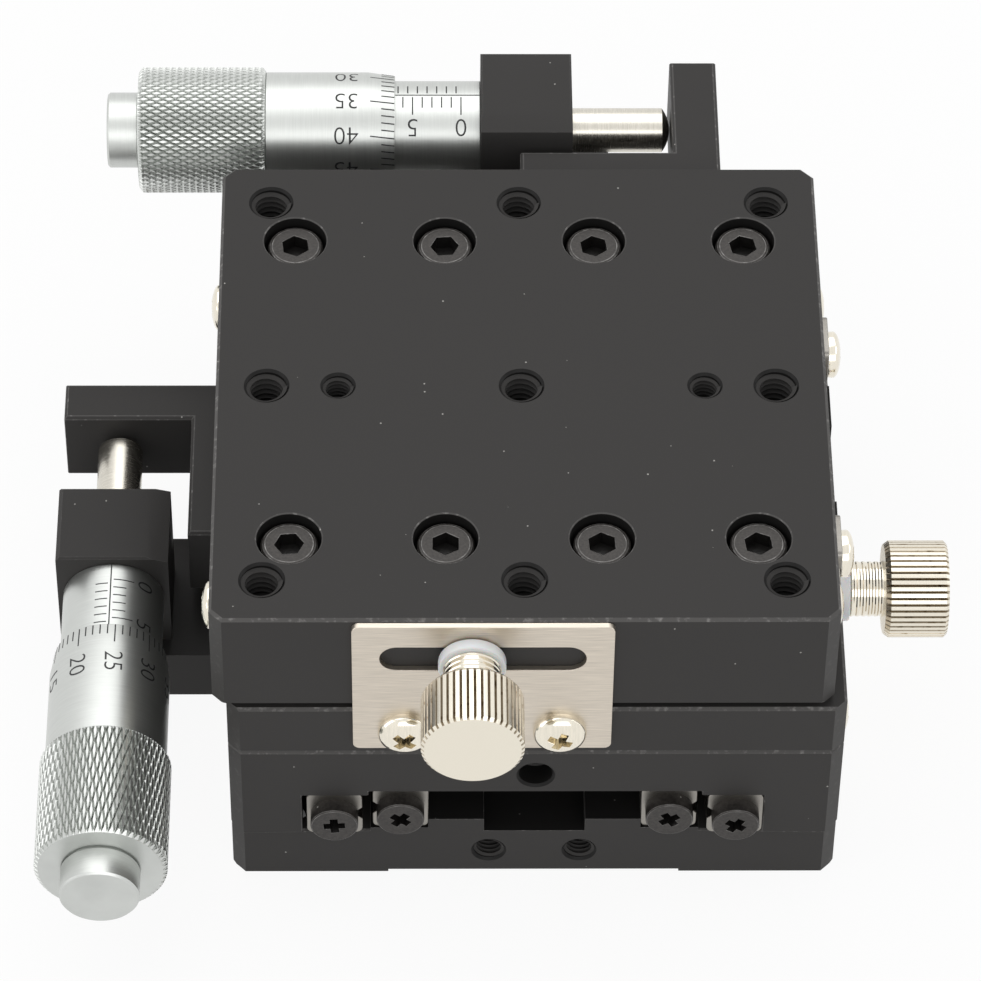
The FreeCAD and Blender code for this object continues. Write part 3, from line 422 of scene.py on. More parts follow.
def lathe(points, steps=96, closed=False):
    """A turned shape round X from (x, radius) points. A closed outline makes a ring."""
    bm = bmesh.new()
    verts = [bm.verts.new((x, 0, radius)) for x, radius in points]
    for pair in list(zip(verts, verts[1:])) + ([(verts[-1], verts[0])] if closed else []):
        bm.edges.new(pair)
    sweep(bm, FULL_TURN, steps, merge=True)
    bmesh.ops.remove_doubles(bm, verts=bm.verts, dist=SAME_POINT)
    return outward(bm)


def edge_marks(bm):
    """The face layer of marks: rubbed edges with a painted highlight, knurl slopes with painted shade, knob
    grooves with tarnish, and holes and gaps with painted shade.
    """
    return bm.faces.layers.float.get("edge") or bm.faces.layers.float.new("edge")


def deepen(bm, wanted=lambda face: True):
    """Marks faces in holes and gaps for painted shade, which makes them darkest."""
    layer = edge_marks(bm)
    for face in bm.faces:
        if wanted(face):
            face[layer] = PAINTED_SHADE_MARK
    return bm


def sharp_edges(bm, least=25, wanted=None):
    """The edges that turn by more than an angle in degrees, and that a test picks."""
    return [
        edge for edge in bm.edges
        if len(edge.link_faces) == 2 and edge.calc_face_angle(0) > math.radians(least)
        and (wanted is None or wanted(edge))
    ]


def runs_along(edge, axis):
    """True for an edge that runs along one axis."""
    run = edge.verts[1].co - edge.verts[0].co
    return all(abs(run[other]) < SAME_POINT for other in range(3) if other != axis)


def both_at(edge, axis, value):
    """True for an edge whose two ends have one coordinate."""
    return all(abs(vert.co[axis] - value) < 10 * SAME_POINT for vert in edge.verts)


def at_side(edge, axis, half):
    """True for an edge in one of the two faces that lie half a width from the middle."""
    return both_at(edge, axis, half) or both_at(edge, axis, -half)


def soften(bm, edges, width, segments=2, worn=WORN):
    """Breaks edges, and marks the new faces so that a finish can wear them and lay a painted highlight along
    them.
    """
    layer = edge_marks(bm)
    made = bmesh.ops.bevel(bm, geom=edges, offset=width, offset_type="OFFSET", segments=segments,
                           profile=0.5, affect="EDGES", clamp_overlap=True, material=-1)
    for face in made["faces"]:
        face[layer] = worn
    return bm


def join(shapes):
    """One bmesh with all the shapes in it. The shapes themselves are used up."""
    whole = bmesh.new()
    edge_marks(whole)
    for shape in shapes:
        edge_marks(shape)
        mesh = bpy.data.meshes.new("part")
        shape.to_mesh(mesh)
        shape.free()
        whole.from_mesh(mesh)
        bpy.data.meshes.remove(mesh)
    return whole


def copies(shape, places):
    """A shape at each of several places, as one bmesh. The shape itself is used up."""
    mesh = bpy.data.meshes.new("part")
    shape.to_mesh(mesh)
    shape.free()
    whole = bmesh.new()
    for place in places:
        start = len(whole.verts)
        whole.from_mesh(mesh)
        whole.verts.ensure_lookup_table()
        bmesh.ops.transform(whole, matrix=place, verts=whole.verts[start:])
    bpy.data.meshes.remove(mesh)
    return whole


def plain_object(name, bm):
    mesh = bpy.data.meshes.new(name)
    bm.to_mesh(mesh)
    bm.free()
    thing = bpy.data.objects.new(name, mesh)
    bpy.context.scene.collection.objects.link(thing)
    return thing


def carve(bm, cutters):
    """Takes closed shapes that don't meet out of another shape."""
    body, tool = plain_object("carved", bm), plain_object("carver", join(cutters))
    modifier = body.modifiers.new("carve", "BOOLEAN")
    modifier.operation, modifier.solver, modifier.object = "DIFFERENCE", "EXACT", tool
    bpy.context.view_layer.update()
    mesh = bpy.data.meshes.new_from_object(body.evaluated_get(bpy.context.evaluated_depsgraph_get()))
    left = bmesh.new()
    left.from_mesh(mesh)
    for thing in (body, tool):
        old = thing.data
        bpy.data.objects.remove(thing)
        bpy.data.meshes.remove(old)
    bpy.data.meshes.remove(mesh)
    bmesh.ops.remove_doubles(left, verts=left.verts, dist=SAME_POINT)
    bmesh.ops.dissolve_degenerate(left, edges=left.edges, dist=SAME_POINT)
    return left


def aimed(direction):
    """The turn that points X along a direction."""
    return Vector(direction).to_track_quat("X", "Z").to_matrix().to_4x4()


def put(bm, place, direction):
    """Moves a shape from the origin to a place, with its X along a direction."""
    bmesh.ops.transform(bm, matrix=Matrix.Translation(place) @ aimed(direction), verts=bm.verts)
    return bm


def pin(steps, place, direction):
    """A stepped pin for a hole: (depth, radius) points from its mouth inwards."""
    points = [(-1.0, 0), (-1.0, steps[0][1])] + steps
    if points[-1][1] > 0:
        points.append((points[-1][0], 0))
    # Its faces carry the mark for painted shade onto the walls of the hole that it cuts
    return deepen(put(lathe(points, 48), place, direction))


def drilled(radius, depth, place, direction):
    return pin([(0, radius), (depth, radius)], place, direction)


def counterbored(head, sink, radius, depth, place, direction=DOWN):
    """A hole for a screw whose head is sunk to a depth."""
    return pin([(0, head), (sink, head), (sink, radius), (depth, radius)], place, direction)


def tapped(radius, depth, place, direction=DOWN):
    """A drilled and countersunk hole with a pointed end."""
    mouth, point = 0.25, radius * 0.6
    return pin([(0, radius + mouth), (mouth, radius), (depth, radius), (depth + point, 0)], place, direction)


def thread(radius, pitch, depth, place, direction=DOWN):
    """The ridge of a thread that winds down the wall of a hole."""
    bm = bmesh.new()
    crest, root, lead_in, steps = radius - 0.54 * pitch, radius + 0.03, 0.3, 40
    outline = [(-0.46, root), (-0.07, crest), (0.07, crest), (0.46, root)]
    bm.faces.new([bm.verts.new((share * pitch, 0, away)) for share, away in outline])
    turns = int((depth - lead_in) / pitch * steps)
    sweep(bm, FULL_TURN * turns / steps, turns, rise=pitch / steps)
    return put(moved(outward(bm), (lead_in, 0, 0)), place, direction)


def look(name):
    """The material that a finish made. The CAD slots have materials of their own."""
    return bpy.data.materials[f"look_{name}"]


def painted(name, bm, material, place, sharp=SMOOTH_ANGLE):
    """An object in its place, with its own coordinates kept for the patterns. It is smooth except at
    edges that turn by more than the sharp angle, or flat without one."""
    own = bm.verts.layers.float_vector.new("own_place")
    for vert in bm.verts:
        vert[own] = vert.co
    edge_marks(bm)
    bmesh.ops.transform(bm, matrix=place, verts=bm.verts)
    for face in bm.faces:
        face.smooth = sharp is not None
    piece = plain_object(name, bm)
    if sharp is not None:
        piece.data.set_sharp_from_angle(angle=sharp)
    piece.data.materials.append(look(material))
    return piece


def dress(name, bm, material, place, body, nodes=(), sharp=SMOOTH_ANGLE):
    """A finished piece that rides on a body."""
    piece = painted(name, bm, material, place, sharp)
    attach(piece, body)
    if nodes:
        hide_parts(*nodes)


def stand_in(node, bm, material, place, label="body"):
    """A finished piece in the place of a whole CAD node."""
    dress(f"{node}_{label}", bm, material, place, body_of(node), [node])


# Finishes

def new_group(name, inputs, outputs):
    """An empty shader group. Gives its tree and the sockets that it starts from and ends in."""
    tree = bpy.data.node_groups.new(name, "ShaderNodeTree")
    for label, kind, default in inputs:
        socket = tree.interface.new_socket(label, in_out="INPUT", socket_type=f"NodeSocket{kind}")
        if default is not None:
            socket.default_value = default
    for label in outputs:
        tree.interface.new_socket(label, in_out="OUTPUT", socket_type="NodeSocketFloat")
    return tree, tree.nodes.new("NodeGroupInput").outputs, tree.nodes.new("NodeGroupOutput").inputs


def add(tree, kind, values=None, **options):
    """A shader node. Each value is set, or linked where it is a socket."""
    node = tree.nodes.new(f"ShaderNode{kind}")
    for name, option in options.items():
        setattr(node, name, option)
    for label, value in (values or {}).items():
        if isinstance(value, bpy.types.NodeSocket):
            tree.links.new(value, node.inputs[label])
        else:
            node.inputs[label].default_value = value
    return node


def mapped(tree, value, low, high, start=0.0, end=1.0):
    """A value between start and end brought between two others."""
    limits = {"From Min": start, "From Max": end, "To Min": low, "To Max": high}
    return add(tree, "MapRange", {"Value": value, **limits}).outputs["Result"]


def maths(tree, operation, first, second, clamp=False):
    return add(tree, "Math", {0: first, 1: second}, operation=operation, use_clamp=clamp).outputs[0]


def mixed(tree, share, under, over):
    """A colour laid over another by a share. Each of them is a socket or three numbers."""
    values = {"Factor": share}
    for label, value in (("A", under), ("B", over)):
        values[label] = value if isinstance(value, bpy.types.NodeSocket) else (*value, 1)
    return add(tree, "Mix", values, data_type="RGBA").outputs["Result"]


def stretched_noise_group():
    """Noise in millimetres that can be drawn out along an axis: grain, brushing and turning marks."""
    tree, start, end = new_group(
        "stretched_noise",
        [("Place", "Vector", None), ("Stretch", "Vector", (1, 1, 1)), ("Detail", "Float", 3.0),
         ("Low", "Float", 0.0), ("High", "Float", 1.0)],
        ["Value", "Mask"],
    )
    place = add(tree, "VectorMath", {0: start["Place"], 1: start["Stretch"]}, operation="MULTIPLY")
    values = {"Scale": 1.0, "Detail": start["Detail"], "Vector": place.outputs[0]}
    noise = add(tree, "TexNoise", values).outputs["Fac"]
    tree.links.new(noise, end["Mask"])
    tree.links.new(mapped(tree, noise, start["Low"], start["High"]), end["Value"])


def edge_wear_group():
    """A mask of marked faces: specks of rubbed metal from a noise, plus the sheen, an even share that paints
    a highlight along edges and shade on knurl slopes.
    """
    tree, start, end = new_group(
        "edge_wear",
        [("Place", "Vector", None), ("Edge", "Float", 0.0), ("Sheen", "Float", 0.1),
         ("Amount", "Float", 0.4)],
        ["Mask"],
    )
    brightest = 0.95
    noise = add(tree, "TexNoise", {"Scale": 1.6, "Detail": 4.0, "Vector": start["Place"]}).outputs["Fac"]
    least = maths(tree, "SUBTRACT", brightest, start["Amount"])
    rubbed = mapped(tree, noise, 0.0, 1.0, least, brightest)
    # The sheen lays an even share on every marked face: a painted highlight on edges, painted shade on knurl
    # slopes
    rubbed = maths(tree, "ADD", rubbed, start["Sheen"], clamp=True)
    tree.links.new(maths(tree, "MULTIPLY", rubbed, start["Edge"]), end["Mask"])


def specks_group():
    """Sparse specks: dust and small knocks."""
    tree, start, end = new_group(
        "specks",
        [("Place", "Vector", None), ("Cells", "Float", 0.5), ("Size", "Float", 0.045),
         ("Share", "Float", 0.35)],
        ["Mask"],
    )
    cells = add(tree, "TexVoronoi", {"Vector": start["Place"], "Scale": start["Cells"]}).outputs
    chance = add(tree, "SeparateColor", {"Color": cells["Color"]}).outputs["Red"]
    small = maths(tree, "LESS_THAN", cells["Distance"], start["Size"])
    rare = maths(tree, "LESS_THAN", chance, start["Share"])
    tree.links.new(maths(tree, "MULTIPLY", small, rare), end["Mask"])


def read(tree, name, output):
    """An attribute of the mesh."""
    return add(tree, "Attribute", attribute_name=name).outputs[output]


def grouped(tree, name, **values):
    """One of the groups above, laid out in a piece's own coordinates."""
    values["Place"] = read(tree, "own_place", "Vector")
    return add(tree, "Group", values, node_tree=bpy.data.node_groups[name]).outputs


def tones(tree, mask, rgb, depth):
    """A colour that gets darker and lighter with a noise, by a share of itself."""
    darker = [value * (1 - depth) for value in rgb]
    lighter = [min(1, value * (1 + depth)) for value in rgb]
    return mixed(tree, mapped(tree, mask, 0.0, 1.0, 0.3, 0.7), darker, lighter)


def finish(name, rgb, roughness, metallic, stretch, detail, relief, spread, depth=0.0, extra=None):
    """A material whose colour, roughness and relief follow a stretched noise."""
    material = bpy.data.materials.new(f"look_{name}")
    material.use_nodes = True
    tree = material.node_tree
    shader = tree.nodes["Principled BSDF"].inputs
    for label, value in {"Base Color": (*rgb, 1), "Metallic": metallic, **(extra or {})}.items():
        shader[label].default_value = value
    noise = grouped(tree, "stretched_noise", Stretch=stretch, Detail=detail,
                    Low=roughness - spread, High=roughness + spread)
    tree.links.new(noise["Value"], shader["Roughness"])
    if depth:
        tree.links.new(tones(tree, noise["Mask"], rgb, depth), shader["Base Color"])
    bump = add(tree, "Bump", {"Strength": 1.0, "Distance": relief * MM, "Height": noise["Mask"]})
    tree.links.new(bump.outputs["Normal"], shader["Normal"])


def wear(name, wear_and_light_colour, sheen, amount, dust):
    """Adds to a material's colour rubbed edges with a painted highlight along them (painted shade on knurl
    slopes, tarnish in knob grooves), specks of dust, and painted shade in holes and gaps.
    """
    tree = look(name).node_tree
    base = tree.nodes["Principled BSDF"].inputs["Base Color"]
    edge = read(tree, "edge", "Fac")
    rubbed = grouped(tree, "edge_wear", Sheen=sheen, Amount=amount, Edge=edge)["Mask"]
    worn = mixed(tree, rubbed, base.links[0].from_socket, wear_and_light_colour)
    dusty = mixed(tree, grouped(tree, "specks")["Mask"], worn, dust)
    # Painted shade in holes and gaps
    hollow = mapped(tree, edge, PAINTED_SHADE_SHARE, 0.0, PAINTED_SHADE_MARK, 0.0)
    tree.links.new(mixed(tree, hollow, dusty, PAINTED_SHADE_COLOUR), base)


class STAGE_OT_finishes(bpy.types.Operator):
    """Makes the materials and gives them to the CAD pieces that stay"""

    bl_idname = "roller_stage.finishes"
    bl_label = "Finishes"

    def execute(self, context):
        stretched_noise_group()
        edge_wear_group()
        specks_group()
        tone = settings("stage_finishes")
        for name, shade, *values in FINISHES:
            finish(name, getattr(tone, shade), *values)
        for name, wear_and_light_colour, sheen, amount, dust in WORN_FINISHES:
            wear(name, getattr(tone, wear_and_light_colour), sheen, amount, getattr(tone, dust))
        for stage in STAGES:
            for node, material in KEPT_NODES.items():
                mesh = frame["nodes"][f"{stage}_{node}"].data
                mesh.materials.clear()
                mesh.materials.append(look(material))
        return {"FINISHED"}


# Plates, rails, holders and brackets

def plate_outlines(stage):
    """The outlines of a stage's base and table, across the travel."""
    size = settings("stage_plates")
    table = own_box(stage, "table_plate")
    inner = own_box(stage, "base_rails")
    outer = own_box(stage, "table_rails")
    half = table.size.y / 2
    seat = inner.low.z
    floor = seat - size.seat_rise
    land = seat + size.land_rise
    face = inner.high.y
    middle = (face + own_box(stage, "roller_cages").high.y) / 2
    right = [
        (size.relief_half, size.relief_depth), (size.relief_half, 0), (half, 0), (half, floor),
        (face + 0.25, floor), (face + 0.25, seat), (size.land_half, seat), (size.land_half, land),
        (size.notch_half, land), (size.notch_half, floor),
    ]
    base_outline = right + [(-y, z) for y, z in reversed(right)]
    roof, pushed = inner.high.z + size.roof_gap, outer.high.y + size.preload_gap
    table_outline = [
        (middle, roof), (middle, inner.high.z), (pushed, inner.high.z), (pushed, table.low.z),
        (half, table.low.z), (half, table.high.z), (-half, table.high.z), (-half, table.low.z),
        (-outer.high.y, table.low.z), (-outer.high.y, inner.high.z), (-middle, inner.high.z), (-middle, roof),
    ]
    return base_outline, table_outline


def plate_blank(size, outline, half, rim):
    """A plate without its holes: upright corners cut, long sides and the edges of a rim chamfered."""
    bm = prism(outline, -half, half)
    corners = sharp_edges(bm, wanted=lambda e: runs_along(e, 2) and at_side(e, 1, half))
    soften(bm, corners, size.corner_cut, 1, HARDLY_WORN)
    sides = sharp_edges(bm, wanted=lambda e: rim(e) or runs_along(e, 0) and at_side(e, 1, half))
    return soften(bm, sides, size.edge_cut, 1)


def rail_screw_places(size, centre):
    """The places of a plate's eight rail screws."""
    return [(size.screw_pitch * step, side * centre) for step in (-1.5, -0.5, 0.5, 1.5) for side in (-1, 1)]


def table_shape(stage):
    """The table of a stage with all its holes."""
    size = settings("stage_plates")
    plate = own_box(stage, "table_plate", "table")
    rails = own_box(stage, "table_rails", "table")
    lock = own_box(stage, "lock_washer", "table")
    half, top = plate.size.y / 2, plate.high.z
    bm = plate_blank(size, plate_outlines(stage)[1], plate.size.x / 2, lambda e: both_at(e, 2, top))
    tools = []
    through, side_hole, middle_hole, small_hole, rail_hole = top - plate.low.z + 1, 8.0, 5.5, 5.0, top - 12
    lock_hole, preload_hole, end_hole = (1.5, 7), (1.5, 7.2), (1.65, 2.6)
    for x in (-1, 0, 1):
        for y in (-1, 0, 1):
            deep = through if x and y else side_hole if y else middle_hole
            tools.append(tapped(size.large_thread, deep, (x * size.hole_pitch, y * size.hole_pitch, top)))
    for x in (-size.small_hole_place, size.small_hole_place):
        tools.append(tapped(size.small_thread, small_hole, (x, 0, top)))
    sink = top - own_box(stage, "table_rail_screws", "table").high.z + SCREW_HEAD_HEIGHT
    for x, y in rail_screw_places(size, rails.high.y - SCREW_HEAD_RADIUS):
        tools.append(counterbored(size.sink_radius, sink, SCREW_HOLE, rail_hole, (x, y, top)))
    tools.append(drilled(*lock_hole, (lock.middle.x, -half, lock.middle.z), (0, 1, 0)))
    tools.append(tapped(*end_hole, (-half, 0, size.end_hole_height), ALONG_X))
    for x in (-15, 0, 15):
        tools.append(drilled(*preload_hole, (x, half, (rails.low.z + rails.high.z) / 2), (0, -1, 0)))
    # Painted shade on the table's faces that look into the gap over the base
    deepen(bm, lambda face: abs(face.calc_center_median().y) < half - 4 and face.normal.z < 0.9
           and abs(face.normal.x) < 0.5)
    return carve(bm, tools)


def base_shape(stage):
    """The base of a stage with all its holes."""
    size = settings("stage_plates")
    half = own_box(stage, "base_plate").size.x / 2
    floor = own_box(stage, "base_rails").low.z - size.seat_rise
    bm = plate_blank(size, plate_outlines(stage)[0], half,
                     lambda e: runs_along(e, 1) and both_at(e, 2, floor) and at_side(e, 0, half))
    tools = []
    bolt_sink, bolt_hole, bolt_depth = 4.4, 2.25, 9
    rail_sink, rail_depth, tap_depth = 3.4, 6.9, 6
    for x in (-size.hole_pitch, size.hole_pitch):
        for y in (-size.hole_pitch, size.hole_pitch):
            tools.append(counterbored(size.bolt_sink_radius, bolt_sink, bolt_hole, bolt_depth, (x, y, floor)))
    for x, y in rail_screw_places(size, size.land_half + SCREW_HEAD_RADIUS):
        tools.append(counterbored(size.sink_radius, rail_sink, SCREW_HOLE, rail_depth, (x, y, 0), (0, 0, 1)))
    for y in (-size.base_tap_place, size.base_tap_place):
        tools.append(tapped(size.small_thread, tap_depth, (-half, y, size.base_tap_height), ALONG_X))
    # Painted shade on the land, the notch and the rail seats under the table
    deepen(bm, lambda face: abs(face.calc_center_median().y) < size.relief_half + 2
           and abs(face.normal.x) < 0.5 and face.calc_center_median().z > 2)
    return carve(bm, tools)


class STAGE_OT_plates(bpy.types.Operator):
    """Builds the base and table plates with their holes"""

    bl_idname = "roller_stage.plates"
    bl_label = "Plates"

    def execute(self, context):
        size = settings("stage_plates")
        for stage in STAGES:
            for part, shape in (("base", base_shape(stage)), ("table", table_shape(stage))):
                soften(shape, sharp_edges(shape, 50), size.rim_cut, 1)
                stand_in(f"{stage}_{part}_plate", shape, "black_anodised", frame_of(stage, part))
        return {"FINISHED"}


def dress_threads(stage, part, ridges):
    """Puts the threads in the holes of a plate."""
    dress(f"{stage}_{part}_threads", join(ridges), "black_anodised", frame_of(stage, part),
          body_of(f"{stage}_{part}_plate"))


class STAGE_OT_threads(bpy.types.Operator):
    """Winds the threads of the tapped holes that show"""

    bl_idname = "roller_stage.threads"
    bl_label = "Threads"

    def execute(self, context):
        size = settings("stage_plates")
        large_depth, small_depth, end_depth = 5.2, 4.6, 5.4
        for stage in STAGES:
            plate = own_box(stage, "table_plate", "table")
            if stage == "upper":
                top, pitch, small = plate.high.z, size.hole_pitch, size.small_hole_place
                ridges = [thread(size.large_thread, size.large_pitch, large_depth,
                                 (x * pitch, y * pitch, top)) for x in (-1, 0, 1) for y in (-1, 0, 1)]
                ridges += [thread(size.small_thread, size.small_pitch, small_depth, (x, 0, top))
                           for x in (-small, small)]
                dress_threads(stage, "table", ridges)
            end, height = -plate.size.x / 2, size.base_tap_height
            dress_threads(stage, "base", [
                thread(size.small_thread, size.small_pitch, end_depth, (end, y, height), ALONG_X)
                for y in (-size.base_tap_place, size.base_tap_place)
            ])
        return {"FINISHED"}


def rail_shape(back, face, low, high, half_length):
    """One rail with a right-angled groove in its face."""
    middle = (low + high) / 2
    groove, corner_radius, broken_edge = 0.914, 0.7, 0.06
    inward = 1 if face > back else -1
    outline = [
        (back, low), (face, low), (face, middle - groove), (face - groove * inward, middle),
        (face, middle + groove), (face, high), (back, high),
    ]
    bm = prism(outline, -half_length, half_length)
    corners = sharp_edges(bm, wanted=lambda e: runs_along(e, 0)
                          and (both_at(e, 2, low) or both_at(e, 2, high)))
    soften(bm, corners, corner_radius, 5)
    return soften(bm, sharp_edges(bm, 60), broken_edge, 1)


class STAGE_OT_rails(bpy.types.Operator):
    """Builds the four rails of each stage"""

    bl_idname = "roller_stage.rails"
    bl_label = "Rails"

    def execute(self, context):
        land_half = settings("stage_plates").land_half
        for stage in STAGES:
            inner = own_box(stage, "base_rails", "base")
            outer = own_box(stage, "table_rails", "table")
            roller_gap = 1.0
            for part, back, face, box in (("base", land_half, inner.high.y, inner),
                                          ("table", outer.high.y, inner.high.y + roller_gap, outer)):
                shapes = [rail_shape(back * side, face * side, box.low.z, box.high.z, box.size.x / 2)
                          for side in (-1, 1)]
                stand_in(f"{stage}_{part}_rails", join(shapes), "ground_steel", frame_of(stage, part))
        return {"FINISHED"}


class STAGE_OT_holders(bpy.types.Operator):
    """Builds the micrometer holders and the anvil brackets"""

    bl_idname = "roller_stage.holders"
    bl_label = "Holders and brackets"

    def execute(self, context):
        for stage in STAGES:
            for label, part in (("micrometer_holder", "base"), ("anvil_bracket", "table")):
                node = f"{stage}_{label}"
                bm = bmesh.new()
                bm.from_mesh(frame["nodes"][node].data)
                bmesh.ops.transform(bm, matrix=frame_of(stage, part).inverted(), verts=bm.verts)
                bmesh.ops.remove_doubles(bm, verts=bm.verts, dist=0.002)
                bmesh.ops.dissolve_limit(bm, angle_limit=math.radians(1), use_dissolve_boundaries=False,
                                         verts=bm.verts, edges=bm.edges, delimit=set())
                soften(bm, sharp_edges(bm, 30), 0.08, 1)
                stand_in(node, bm, "black_anodised", frame_of(stage, part))
        return {"FINISHED"}


# Screws

def solids_of(node):
    """The points of each separate solid of a CAD node, in metres."""
    bm = bmesh.new()
    bm.from_mesh(frame["nodes"][node].data)
    bmesh.ops.remove_doubles(bm, verts=bm.verts, dist=1e-6)
    left = set(bm.verts)
    solids = []
    while left:
        reached, front = set(), [left.pop()]
        while front:
            vert = front.pop()
            reached.add(vert)
            for link in vert.link_edges:
                other = link.other_vert(vert)
                if other in left:
                    left.remove(other)
                    front.append(other)
        solids.append([vert.co.copy() for vert in reached])
    bm.free()
    return sorted(solids, key=lambda points: [round(sum(p[k] for p in points) / len(points), 5)
                                              for k in range(3)])


def girth(points, middle, axis, end):
    """How far a solid reaches from its axis at one end, and with how many points."""
    across = [k for k in range(3) if k != axis]
    near = [point for point in points if abs(point[axis] - end) < SAME_POINT]
    reach = max(math.dist([point[k] for k in across], [middle[k] for k in across]) for point in near)
    return round(reach, 5), len(near)


def screw_places(node):
    """For each screw of a CAD node, a frame in the middle of its outer face with X pointing out of it,
    and the screw's whole length in millimetres. The frames are turned about X by chance."""
    chance = random.Random(node)
    places = []
    for points in solids_of(node):
        low, high = span(points)
        axis = max(range(3), key=lambda k: high[k] - low[k])
        top = (low + high) / 2
        up = girth(points, top, axis, high[axis]) > girth(points, top, axis, low[axis])
        top[axis] = high[axis] if up else low[axis]
        way = Vector((0, 0, 0))
        way[axis] = 1 if up else -1
        spin = Matrix.Rotation(chance.uniform(0, FULL_TURN), 4, "X")
        places.append(Matrix.Translation(top) @ aimed(way) @ spin @ Matrix.Scale(MM, 4))
        whole = (high[axis] - low[axis]) / MM
    return places, whole


def hexagon(flats, depth):
    """A hexagonal cutter from above a face at X = 0 down to a depth."""
    bm = turned(rod(flats / math.sqrt(3), depth + 1, 6), 90, "Y")
    # The socket's walls get painted shade
    return deepen(moved(bm, ((1 - depth) / 2, 0, 0)))


def cross(width, reach, depth):
    """A cutter for a cross recess, its arms narrowing towards the bottom."""
    arms = []
    for turn in (0, 90):
        bm = block((-depth, -reach / 2, -width / 2), (1, reach / 2, width / 2))
        for vert in bm.verts:
            if vert.co.x < 0:
                vert.co.yz *= 0.5
        # The recess's walls get painted shade
        arms.append(deepen(turned(bm, turn, "X")))
    return arms


def socket_screw(radius, head_radius, head_height, flats, whole):
    """A screw with a cylindrical head and a hexagon socket. Its outer face is at X = 0."""
    cut = 0.07 * head_radius
    points = [(0, 0), (0, head_radius - 2.2 * cut), (-cut * 0.35, head_radius - cut),
              (-cut * 1.3, head_radius), (-head_height, head_radius), (-head_height, radius),
              (-whole + 0.4, radius), (-whole, radius - 0.35), (-whole, 0)]
    bm = carve(lathe(points, 64), [hexagon(flats, head_height * 0.52)])
    rims = sharp_edges(bm, 15, lambda e: all(vert.co.x > -2 * cut for vert in e.verts))
    return soften(bm, rims, 0.05, 1)


def headless_screw(radius, flats, whole):
    """A set screw. Its socket is at X = 0."""
    points = [(0, 0), (0, radius - 0.25), (-0.25, radius), (-whole + 0.4, radius),
              (-whole, radius - 0.4), (-whole, 0)]
    return carve(lathe(points, 48), [hexagon(flats, 1.6)])


def cross_screw(radius, head_radius, head_height, crown, whole):
    """A screw with a low head and a cross recess. The top of its head is at X = 0."""
    if crown:
        angles = [math.radians(degrees) for degrees in range(0, 91, 10)]
        points = [(-crown * (1 - math.cos(angle)), head_radius * math.sin(angle)) for angle in angles]
        points.append((-head_height, head_radius * 0.985))
    else:
        points = [(0, 0), (0, head_radius - 0.12), (-0.12, head_radius), (-head_height, head_radius)]
    points += [(-head_height, radius), (-whole, radius), (-whole, 0)]
    bm = lathe(points, 64)
    for arm in cross(1.05, head_radius * (1.22 if crown else 1.15), 1.35):
        bm = carve(bm, [arm])
    rims = sharp_edges(bm, 40, lambda e: all(vert.co.x > -0.6 for vert in e.verts))
    return soften(bm, rims, BROKEN_EDGE, 1)


# What builds each kind of screw, and its sizes in millimetres: radius, head radius, head height,
# then the width of the socket or the rise of the crown. A set screw has no head.
SMALL_SOCKET = (socket_screw, 1.22, 2.25, 2.5, 2.0)
RAIL_SOCKET = (socket_screw, 1.47, SCREW_HEAD_RADIUS, SCREW_HEAD_HEIGHT, 2.5)
STACK_SOCKET = (socket_screw, 1.97, 3.5, 4.0, 3.0)
SET_SCREW = (headless_screw, 1.47, 1.5)
FLAT_CROSS = (cross_screw, 0.97, 2.35, 1.6, 0)
LOW_CROSS = (cross_screw, 0.97, 2.35, 1.4, 0.8)
PAN_CROSS = (cross_screw, 1.22, 2.6, 1.6, 1.25)
SOCKET_NODES = {
    "table_rail_screws": RAIL_SOCKET, "base_rail_screws": RAIL_SOCKET, "holder_screws": SMALL_SOCKET,
    "anvil_screws": RAIL_SOCKET, "preload_screws": SET_SCREW, "sleeve_set_screw": SET_SCREW,
}


def fill_places(node, screw, material="black_oxide"):
    """Puts one screw in all the places of a CAD node, which it then replaces."""
    build, *sizes = screw
    places, whole = screw_places(node)
    places = [Matrix.Scale(1 / MM, 4) @ place for place in places]
    stand_in(node, copies(build(*sizes, whole), places), material, Matrix.Scale(MM, 4))


class STAGE_OT_screws(bpy.types.Operator):
    """Builds the socket screws and the set screws"""

    bl_idname = "roller_stage.screws"
    bl_label = "Socket screws"

    def execute(self, context):
        for stage in STAGES:
            for node, screw in SOCKET_NODES.items():
                fill_places(f"{stage}_{node}", screw)
        fill_places("stack_screws", STACK_SOCKET)
        return {"FINISHED"}


class STAGE_OT_cross_screws(bpy.types.Operator):
    """Builds the rail end screws and the screws of the lock plates"""

    bl_idname = "roller_stage.cross_screws"
    bl_label = "Cross screws"

    def execute(self, context):
        for part in ("base", "table"):
            fill_places(f"lower_{part}_end_screws", FLAT_CROSS)
            fill_places(f"upper_{part}_end_screws", LOW_CROSS, "nickel")
        for stage in STAGES:
            fill_places(f"{stage}_lock_plate_screws", PAN_CROSS, "nickel")
        return {"FINISHED"}


# Micrometers

def figures(text, height):
    """Flat figures in the XY plane, centred, read along X."""
    curve = bpy.data.curves.new("figures", "FONT")
    curve.body = text
    curve.resolution_u = 4
    curve.offset = -0.012
    thing = bpy.data.objects.new("figures", curve)
    bpy.context.scene.collection.objects.link(thing)
    bpy.context.view_layer.update()
    mesh = bpy.data.meshes.new_from_object(thing.evaluated_get(bpy.context.evaluated_depsgraph_get()))
    bm = bmesh.new()
    bm.from_mesh(mesh)
    bpy.data.objects.remove(thing)
    bpy.data.curves.remove(curve)
    bpy.data.meshes.remove(mesh)
    low, high = span([vert.co for vert in bm.verts])
    grow = height / (high.y - low.y)
    moved(bm, -(low + high) / 2)
    bmesh.ops.scale(bm, verts=bm.verts, vec=(grow, grow, grow))
    return bm


